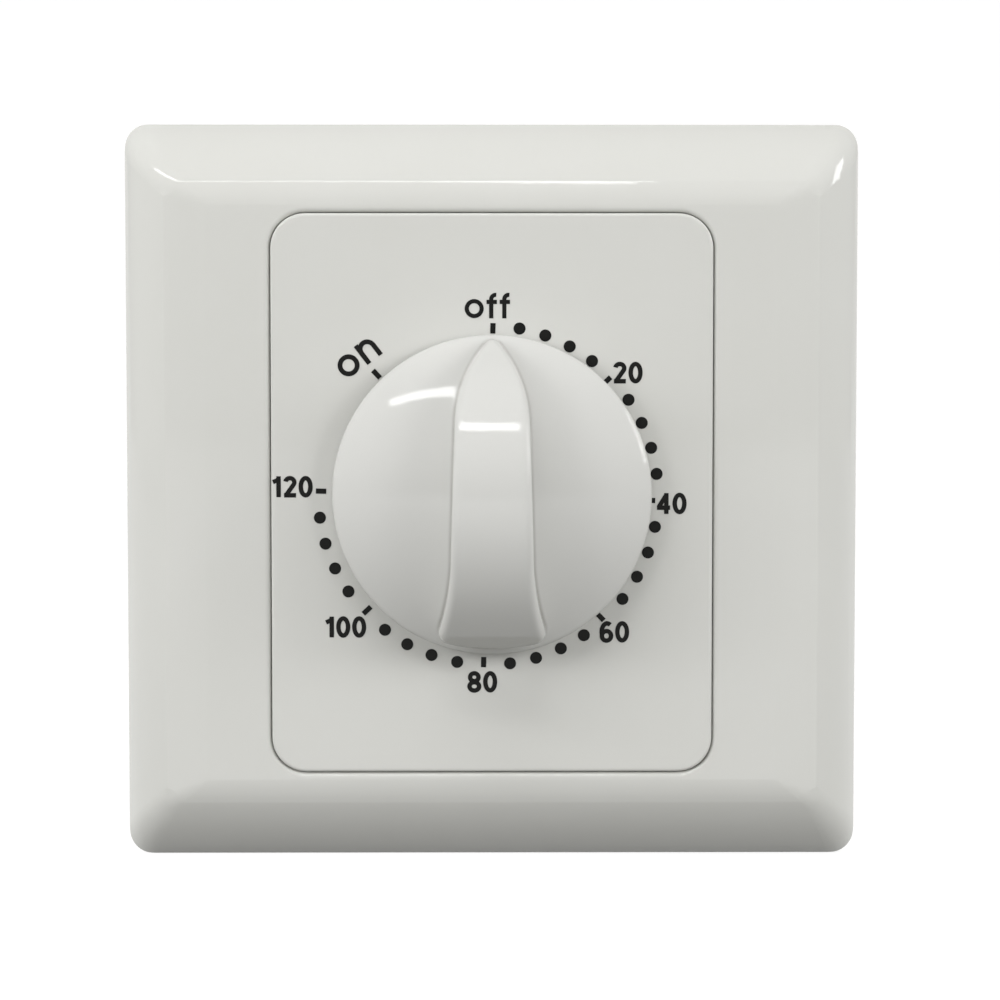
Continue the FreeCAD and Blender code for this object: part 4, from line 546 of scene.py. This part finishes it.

# %% [markdown]
# The plate, the panel and the knob are moulded from one glossy white plastic. The knob is handled, so it
# has rounder edges, and its creases get more painted shade. The casing, which nobody sees, is left matt
# from the mould. The contact board is brown phenolic, which stands the heat of a switch, and the cam is
# milky acetal, which slides well. One function makes them all, and a table holds what differs.

# %% Plastics
SPECKS = 0.3
# The mask for the lighter edges painted on every plastic, which is painted light, and their colour on the
# white ones.
THIN_EDGE = {"Radius": 0.0003, "Break_up": 0.3}
WHITE_EDGE = (0.72, 0.71, 0.68, 1)
PLASTICS = {
    "white_abs": {
        "colour": (0.66, 0.66, 0.635, 1), "drift": (0.63, 0.63, 0.60, 1), "edge_colour": WHITE_EDGE,
        "roughness": 0.045, "marks": 0.08, "peel": 0.06},
    # The knob gets the most painted shade in its creases.
    "knob_abs": {
        "colour": (0.65, 0.65, 0.63, 1), "drift": (0.62, 0.62, 0.60, 1), "edge_colour": WHITE_EDGE,
        "roughness": 0.035, "marks": 0.10, "peel": 0.05, "edge_radius": 0.0009, "crease_shade": 0.8},
    "casing_abs": {
        "colour": (0.62, 0.62, 0.59, 1), "drift": (0.57, 0.57, 0.54, 1), "edge_colour": (0.70, 0.70, 0.66, 1),
        "roughness": 0.38, "marks": 0.10, "peel": 0.5, "peel_size": 1400.0},
    "brown_phenolic": {
        "colour": (0.10, 0.055, 0.035, 1), "drift": (0.065, 0.035, 0.022, 1),
        "edge_colour": (0.19, 0.12, 0.08, 1),
        "roughness": 0.34, "marks": 0.12, "peel": 0.3, "peel_size": 1100.0},
    "cam_acetal": {
        "colour": (0.74, 0.71, 0.61, 1), "drift": (0.68, 0.65, 0.55, 1), "edge_colour": (0.80, 0.78, 0.70, 1),
        "roughness": 0.32, "marks": 0.10, "peel": 0.2},
}


def plastic(name, colour, drift, edge_colour, roughness, marks, peel, peel_size=500.0, edge_radius=0.0003,
            crease_shade=0.25):
    """A moulded plastic: clouded colour, painted crease shade, edges painted lighter, hairline marks and
    faint orange peel.
    """
    material, tree, output = fresh_material(name)
    shader = add_node(tree, "ShaderNodeBsdfPrincipled")
    # Painted shade: the tone group also darkens the creases, by the amount given for this plastic.
    tone = use_group(tree, moulded_colour_and_shade, Colour=colour, Drift_colour=drift, Specks=SPECKS, Grime=crease_shade)
    edge = use_group(tree, edge_mask, **THIN_EDGE)
    # Painted light: the edges are mixed towards a lighter colour.
    lighter_edges = add_node(tree, "ShaderNodeMix", data_type="RGBA")
    lighter_edges.inputs[COLOUR_B].default_value = edge_colour
    join(tree, edge.outputs["Mask"], lighter_edges.inputs["Factor"])
    join(tree, tone.outputs["Colour"], lighter_edges.inputs[COLOUR_A])
    skin = use_group(tree, moulded_skin, Roughness=roughness, Marks=marks, Peel=peel, Peel_size=peel_size,
                     Edge_radius=edge_radius)
    join(tree, lighter_edges.outputs[COLOUR_RESULT], shader.inputs["Base Color"])
    join(tree, skin.outputs["Roughness"], shader.inputs["Roughness"])
    join(tree, skin.outputs["Normal"], shader.inputs["Normal"])
    join(tree, shader.outputs[0], output.inputs["Surface"])
    return material


plastics = {name: plastic(name, **look) for name, look in PLASTICS.items()}
print("plastics:", ", ".join(plastics))

# %% [markdown]
# The movement's metals don't show from the front, but they do when the part is opened up or looked at
# through the casing's vents. Stamped sheet keeps the fine grain of the rolling mill, and a turned shaft
# keeps rings from the lathe. Both are a noise squeezed in one direction, which a group turns into small
# changes of colour, roughness and height.

# %% Group: grain of rolled or turned metal
STREAK_ROUGHNESS = 0.18
GRAIN_HEIGHT = 0.00005


def metal_grain_group():
    """Streaks along one direction and broad stains: a stain mask, a roughness and a normal."""
    group, given, result = new_group(
        "metal_grain",
        {"Squeeze": (VECTOR, (1.0, 1.0, 20.0)), "Scale": (FLOAT, 400.0), "Roughness": (FLOAT, 0.3),
         "Depth": (FLOAT, 0.3)},
        {"Stain": FLOAT, "Roughness": FLOAT, "Normal": VECTOR})
    place = add_node(group, "ShaderNodeTexCoord")
    squeeze = add_node(group, "ShaderNodeVectorMath", operation="MULTIPLY")
    join(group, place.outputs["Object"], squeeze.inputs[0])
    join(group, given.outputs["Squeeze"], squeeze.inputs[1])
    streak = add_node(group, "ShaderNodeTexNoise", Detail=3.0)
    join(group, squeeze.outputs[0], streak.inputs["Vector"])
    join(group, given.outputs["Scale"], streak.inputs["Scale"])
    stain = add_node(group, "ShaderNodeTexNoise", Scale=120.0, Detail=4.0)
    join(group, place.outputs["Object"], stain.inputs["Vector"])
    rough = add_node(group, "ShaderNodeMath", operation="MULTIPLY_ADD")
    rough.inputs[1].default_value = STREAK_ROUGHNESS
    join(group, streak.outputs["Fac"], rough.inputs[0])
    join(group, given.outputs["Roughness"], rough.inputs[2])
    bump = add_node(group, "ShaderNodeBump", Distance=GRAIN_HEIGHT)
    join(group, given.outputs["Depth"], bump.inputs["Strength"])
    join(group, streak.outputs["Fac"], bump.inputs["Height"])
    join(group, stain.outputs["Fac"], result.inputs["Stain"])
    join(group, rough.outputs[0], result.inputs["Roughness"])
    join(group, bump.outputs[0], result.inputs["Normal"])
    return group


metal_grain = metal_grain_group()
print("group:", metal_grain.name)

# %% [markdown]
# Each metal is named for what it is on the timer. The movement's two plates are zinc-plated sheet. Its
# pillars, arbors and pinions are turned steel, and the wheels and terminal clamps are brass. The springs
# are blued by tempering, and the contacts are silver rivets on strips of bronze. A metal's colour sits
# in its reflection, so Metallic is 1 in all of them. The table gives three shades, from stained to
# rubbed, the roughness and the direction of the grain.

# %% Metals
ROLLED = (1.0, 1.0, 18.0)
TURNED = (0.6, 22.0, 0.6)
GRAIN_DEPTH = 0.3
STAIN_RANGE = (0.3, 0.6)
RUBBED_EDGE = {"Radius": 0.00015, "Break_up": 0.6}
METALS = {
    "zinc_sheet": ((0.46, 0.46, 0.44, 1), (0.62, 0.62, 0.60, 1), (0.78, 0.78, 0.76, 1), 0.28, ROLLED),
    "turned_steel": ((0.44, 0.44, 0.45, 1), (0.58, 0.58, 0.58, 1), (0.75, 0.75, 0.75, 1), 0.22, TURNED),
    "blued_spring": ((0.09, 0.08, 0.10, 1), (0.14, 0.16, 0.24, 1), (0.35, 0.36, 0.40, 1), 0.25, ROLLED),
    "zinc_screw": ((0.50, 0.49, 0.44, 1), (0.66, 0.65, 0.60, 1), (0.80, 0.80, 0.77, 1), 0.25, TURNED),
    "stamped_brass": ((0.50, 0.35, 0.14, 1), (0.72, 0.53, 0.22, 1), (0.85, 0.68, 0.36, 1), 0.24, ROLLED),
    "contact_bronze": ((0.45, 0.24, 0.13, 1), (0.68, 0.38, 0.20, 1), (0.80, 0.52, 0.32, 1), 0.26, ROLLED),
    "contact_silver": ((0.60, 0.57, 0.52, 1), (0.80, 0.79, 0.76, 1), (0.90, 0.90, 0.88, 1), 0.2, TURNED),
}


def metal(name, stained_colour, clean_colour, rubbed_colour, roughness, squeeze):
    """A metal with grain, soft stains and edges rubbed bright."""
    material, tree, output = fresh_material(name)
    shader = add_node(tree, "ShaderNodeBsdfPrincipled", Metallic=1.0)
    grain = use_group(tree, metal_grain, Squeeze=squeeze, Roughness=roughness, Depth=GRAIN_DEPTH)
    stained = add_node(tree, "ShaderNodeMix", data_type="RGBA")
    stained.inputs[COLOUR_A].default_value = stained_colour
    stained.inputs[COLOUR_B].default_value = clean_colour
    reach = add_node(tree, "ShaderNodeMapRange", From_Min=STAIN_RANGE[0], From_Max=STAIN_RANGE[1])
    join(tree, grain.outputs["Stain"], reach.inputs["Value"])
    join(tree, reach.outputs[0], stained.inputs["Factor"])
    edge = use_group(tree, edge_mask, **RUBBED_EDGE)
    lighter_edges = add_node(tree, "ShaderNodeMix", data_type="RGBA")
    lighter_edges.inputs[COLOUR_B].default_value = rubbed_colour
    join(tree, edge.outputs["Mask"], lighter_edges.inputs["Factor"])
    join(tree, stained.outputs[COLOUR_RESULT], lighter_edges.inputs[COLOUR_A])
    join(tree, lighter_edges.outputs[COLOUR_RESULT], shader.inputs["Base Color"])
    join(tree, grain.outputs["Roughness"], shader.inputs["Roughness"])
    join(tree, grain.outputs["Normal"], shader.inputs["Normal"])
    join(tree, shader.outputs[0], output.inputs["Surface"])
    return material


metals = {name: metal(name, *look) for name, look in METALS.items()}
print("metals:", ", ".join(metals))

# %% [markdown]
# Every CAD piece already sits in its place. The record says which finish each one has, so one loop can
# put the right material on all of them. The knob is moulded from the plate's plastic, but its edges are
# rounder, so it gets a plastic of its own.

# %% Dress the CAD pieces
FINISHES = {
    "white_front": plastics["white_abs"], "casing_plastic": plastics["casing_abs"],
    "board_plastic": plastics["brown_phenolic"], "cam_plastic": plastics["cam_acetal"],
    "plate_steel": metals["zinc_sheet"], "shaft_steel": metals["turned_steel"],
    "spring_steel": metals["blued_spring"], "screw_steel": metals["zinc_screw"],
    "wheel_brass": metals["stamped_brass"], "contact_bronze": metals["contact_bronze"],
    "contact_silver": metals["contact_silver"],
}
for row in frame["record"]["subparts"]:
    piece = frame["nodes"][row["node"]]
    piece.data.materials.clear()
    finish = plastics["knob_abs"] if row["node"] == "knob" else FINISHES[row["material_slot"]]
    piece.data.materials.append(finish)

# %% [markdown]
# The scale is pad-printed with dark ink, a few hundredths of a millimetre thick. An image of the print
# would do in a picture, but thin meshes stay sharp from near, throw their own small shadow and come along
# with the model. The ink is nearly black and less glossy than the plastic, so it mirrors little.

# %% Ink
INK_THICKNESS = 0.03
INK_SUNK = 0.02
INK_SHADES = ((0.004, 0.004, 0.004, 1), (0.011, 0.011, 0.010, 1))
INK_ROUGHNESS = (0.35, 0.55)
INK_BUMP = 0.00002


def ink_material():
    """Black ink, a little uneven, with a soft sheen."""
    material, tree, output = fresh_material("dial_ink")
    shader = add_node(tree, "ShaderNodeBsdfPrincipled", Specular_IOR_Level=0.2)
    place = add_node(tree, "ShaderNodeTexCoord")
    blot = add_node(tree, "ShaderNodeTexNoise", Scale=900.0, Detail=3.0)
    join(tree, place.outputs["Object"], blot.inputs["Vector"])
    shade = add_node(tree, "ShaderNodeMix", data_type="RGBA")
    shade.inputs[COLOUR_A].default_value, shade.inputs[COLOUR_B].default_value = INK_SHADES
    join(tree, blot.outputs["Fac"], shade.inputs["Factor"])
    rough = add_node(tree, "ShaderNodeMapRange", To_Min=INK_ROUGHNESS[0], To_Max=INK_ROUGHNESS[1])
    join(tree, blot.outputs["Fac"], rough.inputs["Value"])
    bump = add_node(tree, "ShaderNodeBump", Distance=INK_BUMP, Strength=0.4)
    join(tree, blot.outputs["Fac"], bump.inputs["Height"])
    join(tree, shade.outputs[COLOUR_RESULT], shader.inputs["Base Color"])
    join(tree, rough.outputs[0], shader.inputs["Roughness"])
    join(tree, bump.outputs[0], shader.inputs["Normal"])
    join(tree, shader.outputs[0], output.inputs["Surface"])
    return material


ink = ink_material()
print("ink", INK_THICKNESS, "mm thick")

# %% [markdown]
# Every mark is laid out in millimetres from the print's own centre, which sits half a millimetre off the
# knob's centre and is turned by a degree or two, as pad prints are. A mark is a closed outline, pulled
# out to the ink's thickness and sunk a little into the panel, so that no gap shows under it. The panel
# is part of the wall unit, so each mark rides on that body and stays still when the knob turns.

# %% Helpers for printed marks
PRINT_OFFSET = (-0.43, -0.21)
PRINT_TURN = 1.6


def on_panel(x, z, lift):
    """A point of the print, x and z in mm from its own centre, lifted off the panel by that many mm."""
    return ((PRINT_OFFSET[0] + x) * MM, PANEL_FRONT - lift * MM, (PRINT_OFFSET[1] + z) * MM)


def ink_piece(name, mesh):
    """Makes the mesh a piece of dial ink that rides on the wall unit."""
    mesh.name = name
    mesh.materials.append(ink)
    piece = bpy.data.objects.new(name, mesh)
    bpy.context.scene.collection.objects.link(piece)
    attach(piece, "wall_unit")
    return piece


def printed_piece(name, outlines):
    """One thin mesh from closed outlines of (x, z) points in mm, counter-clockwise seen from the front."""
    points, faces = [], []
    for outline in outlines:
        first = len(points)
        count = len(outline)
        points += [on_panel(x, z, INK_THICKNESS) for x, z in outline]
        points += [on_panel(x, z, -INK_SUNK) for x, z in outline]
        faces.append([first + n for n in range(count)])
        faces.append([first + count + n for n in reversed(range(count))])
        for n in range(count):
            after = (n + 1) % count
            faces.append([first + n, first + count + n, first + count + after, first + after])
    mesh = bpy.data.meshes.new(name)
    mesh.from_pydata(points, [], faces)
    return ink_piece(name, mesh)


def on_dial(angle, radius):
    """A point at that clockwise angle from "off"."""
    turn = math.radians(angle + PRINT_TURN)
    return radius * math.sin(turn), radius * math.cos(turn)


print("print helpers ready")

# %% [markdown]
# The scale has a dot for every four minutes, a dash at every twenty, and a dash for "on" left of "off".
# The knob turns 45 degrees in twenty minutes, so both rings of marks come from counts and angles. Dots
# are low discs, and dashes are short bars. Some dashes aren't quite in their place, and a small table
# moves them sideways.

# %% Dots and dashes
DOT_RING = 19.6
DOT_RADIUS = 0.7
DOT_POINTS = 32
DOT_STEP = 9.0
DOTS_BETWEEN = 4
DASH_RING = 19.3
DASH_LENGTH = 1.2
DASH_WIDTH = 0.6
DASH_SHIFTS = {-45.0: 0.4, 45.0: -0.35, 90.0: -0.6, 135.0: -0.3}
TWENTY_STEP = 45.0
TWENTIES = 6


def dot_outline(angle):
    """A round dot on the ring."""
    x, z = on_dial(angle, DOT_RING)
    turns = [2 * math.pi * n / DOT_POINTS for n in range(DOT_POINTS)]
    return [(x + DOT_RADIUS * math.cos(t), z + DOT_RADIUS * math.sin(t)) for t in turns]


def dash_outline(angle):
    """A short bar that points at the print's centre."""
    x, z = on_dial(angle, DASH_RING)
    x += DASH_SHIFTS.get(angle, 0.0)
    turn = math.radians(angle + PRINT_TURN)
    out, side = (math.sin(turn), math.cos(turn)), (math.cos(turn), -math.sin(turn))
    corners = ((-1, -1), (-1, 1), (1, 1), (1, -1))
    return [(x + a * DASH_LENGTH / 2 * out[0] - b * DASH_WIDTH / 2 * side[0],
             z + a * DASH_LENGTH / 2 * out[1] - b * DASH_WIDTH / 2 * side[1]) for a, b in corners]


dot_angles = [TWENTY_STEP * block + DOT_STEP * n
              for block in range(TWENTIES) for n in range(1, DOTS_BETWEEN + 1)]
dash_angles = [TWENTY_STEP * n for n in range(-1, TWENTIES + 1)]
printed_piece("minute_dots", [dot_outline(angle) for angle in dot_angles])
printed_piece("minute_dashes", [dash_outline(angle) for angle in dash_angles])
print(len(dot_angles), "dots and", len(dash_angles), "dashes")

# %% [markdown]
# The figures and the two words could be text objects, but then their look would hang on a font file. So
# they are drawn here, as strokes of even width. A glyph is its width and a list of strokes in a box one
# unit high: rings for the round parts, arcs and straight runs for the rest.

# %% Strokes
ARC_STEP = 10.0


def arc(x, y, across, up, start, end):
    """Points on an ellipse's arc, angles in degrees from the right, counter-clockwise."""
    steps = max(2, round(abs(end - start) / ARC_STEP))
    turns = [math.radians(start + (end - start) * n / steps) for n in range(steps + 1)]
    return [(x + across * math.cos(t), y + up * math.sin(t)) for t in turns]


def ring(x, y, across, up):
    """A closed ellipse: its last point meets the first."""
    return arc(x, y, across, up, 0, 360)


GLYPHS = {
    "0": (0.64, [ring(0.32, 0.50, 0.23, 0.41)]),
    "1": (0.46, [[(0.35, 0.0), (0.35, 1.0)], [(0.36, 0.90), (0.27, 0.80), (0.08, 0.72)]]),
    "2": (0.62, [arc(0.31, 0.71, 0.21, 0.20, 170, -35) + [(0.13, 0.10)], [(0.03, 0.09), (0.60, 0.09)]]),
    "4": (0.66, [[(0.47, 0.0), (0.47, 1.0)], [(0.02, 0.30), (0.65, 0.30)], [(0.46, 0.90), (0.11, 0.33)]]),
    "6": (0.64, [ring(0.33, 0.31, 0.22, 0.23), arc(0.36, 0.50, 0.26, 0.41, 205, 55)]),
    "8": (0.64, [ring(0.32, 0.28, 0.23, 0.20), ring(0.32, 0.72, 0.20, 0.19)]),
    "o": (1.00, [ring(0.50, 0.50, 0.38, 0.38)]),
    "f": (0.54, [[(0.24, 0.0)] + arc(0.46, 0.97, 0.22, 0.23, 180, 80), [(0.0, 0.84), (0.53, 0.84)]]),
    "n": (0.88, [[(0.12, 0.0), (0.12, 1.0)], arc(0.44, 0.54, 0.32, 0.35, 180, 0) + [(0.76, 0.0)]]),
}
print(len(GLYPHS), "glyphs:", " ".join(GLYPHS))

# %% [markdown]
# Each stroke becomes a thin ribbon with a top, a bottom and sides. Where two ribbons cross, their faces
# would lie in one plane and flicker, so a Boolean modifier joins the ribbons of a word into one closed
# mesh, and only its result is kept. Where a stroke's first and last points meet, it is a ring, and its
# ribbon has no ends to close.

# %% Ribbons
MEETING_SHARE = 0.01


def ribbon(points, width):
    """A thin solid that follows the points, in mm, with its own thickness as local z."""
    closed = math.dist(points[0], points[-1]) < MEETING_SHARE * width
    line = points[:-1] if closed else points
    count = len(line)
    corners = []
    for n, (x, y) in enumerate(line):
        before = line[n - 1] if closed or n else line[0]
        after = line[(n + 1) % count] if closed or n + 1 < count else line[-1]
        along = Vector((after[0] - before[0], after[1] - before[1])).normalized()
        for side in (-width / 2, width / 2):
            for height in (-INK_SUNK, INK_THICKNESS):
                corners.append((x - side * along.y, y + side * along.x, height))
    spans = count if closed else count - 1
    faces = []
    for n in range(spans):
        a, b = 4 * n, 4 * ((n + 1) % count)
        faces += [(a + 1, b + 1, b + 3, a + 3), (a, a + 2, b + 2, b),
                  (a, b, b + 1, a + 1), (a + 2, a + 3, b + 3, b + 2)]
    if not closed:
        end = 4 * (count - 1)
        faces += [(0, 1, 3, 2), (end, end + 2, end + 3, end + 1)]
    mesh = bpy.data.meshes.new("stroke")
    mesh.from_pydata(corners, [], faces)
    piece = bpy.data.objects.new("stroke", mesh)
    bpy.context.scene.collection.objects.link(piece)
    return piece


def joined_strokes(strokes):
    """The union of the ribbons, as one mesh. The ribbons are removed."""
    base = strokes[0]
    for other in strokes[1:]:
        union = base.modifiers.new("union", "BOOLEAN")
        union.operation = "UNION"
        union.solver = "EXACT"
        union.object = other
    bpy.context.view_layer.update()
    mesh = bpy.data.meshes.new_from_object(base.evaluated_get(bpy.context.evaluated_depsgraph_get()))
    for stroke in strokes:
        bpy.data.objects.remove(stroke)
    return mesh


print("ribbon helpers ready")

# %% [markdown]
# A word is written along a line, centred, turned by its tilt and laid on the panel. The figures share one
# height and spacing. The two words have their own, and "on" leans with the ring of marks.

# %% Figures and words
STROKE = 0.215
FIGURE_HEIGHT = 2.42
FIGURE_GAP = 0.12
FIGURE_PLACES = {
    "20": (16.1, 14.2), "40": (21.2, -0.9), "60": (14.6, -15.8), "80": (-0.7, -21.6),
    "100": (-16.5, -15.2), "120": (-22.6, 1.05),
}
WORDS = {
    "off": {"place": (-0.1, 21.9), "height": 2.25, "gap": 0.13},
    "on": {"place": (-15.0, 15.86), "height": 2.6, "gap": 0.16, "tilt": 37.5},
}


def printed_word(name, text, place, height, gap, tilt=0.0):
    """Text as one thin mesh on the panel, centred on its place. Stroke and gap are shares of its height."""
    ribbons, pen = [], 0.0
    for letter in text:
        width, strokes = GLYPHS[letter]
        for points in strokes:
            ribbons.append(ribbon([((pen + x) * height, y * height) for x, y in points], STROKE * height))
        pen += width + gap
    mesh = joined_strokes(ribbons)
    corners = [v.co for v in mesh.vertices]
    middle_x = (max(c.x for c in corners) + min(c.x for c in corners)) / 2
    middle_y = (max(c.y for c in corners) + min(c.y for c in corners)) / 2
    turn = math.radians(tilt)
    for v in mesh.vertices:
        x, z, lift = v.co.x - middle_x, v.co.y - middle_y, v.co.z
        v.co = on_panel(place[0] + x * math.cos(turn) - z * math.sin(turn),
                        place[1] + x * math.sin(turn) + z * math.cos(turn), lift)
    return ink_piece(name, mesh)


for text, place in FIGURE_PLACES.items():
    printed_word("figure_" + text, text, place, FIGURE_HEIGHT, FIGURE_GAP)
for text, layout in WORDS.items():
    printed_word("word_" + text, text, **layout)
print("figures:", ", ".join(FIGURE_PLACES), "and words:", ", ".join(WORDS))
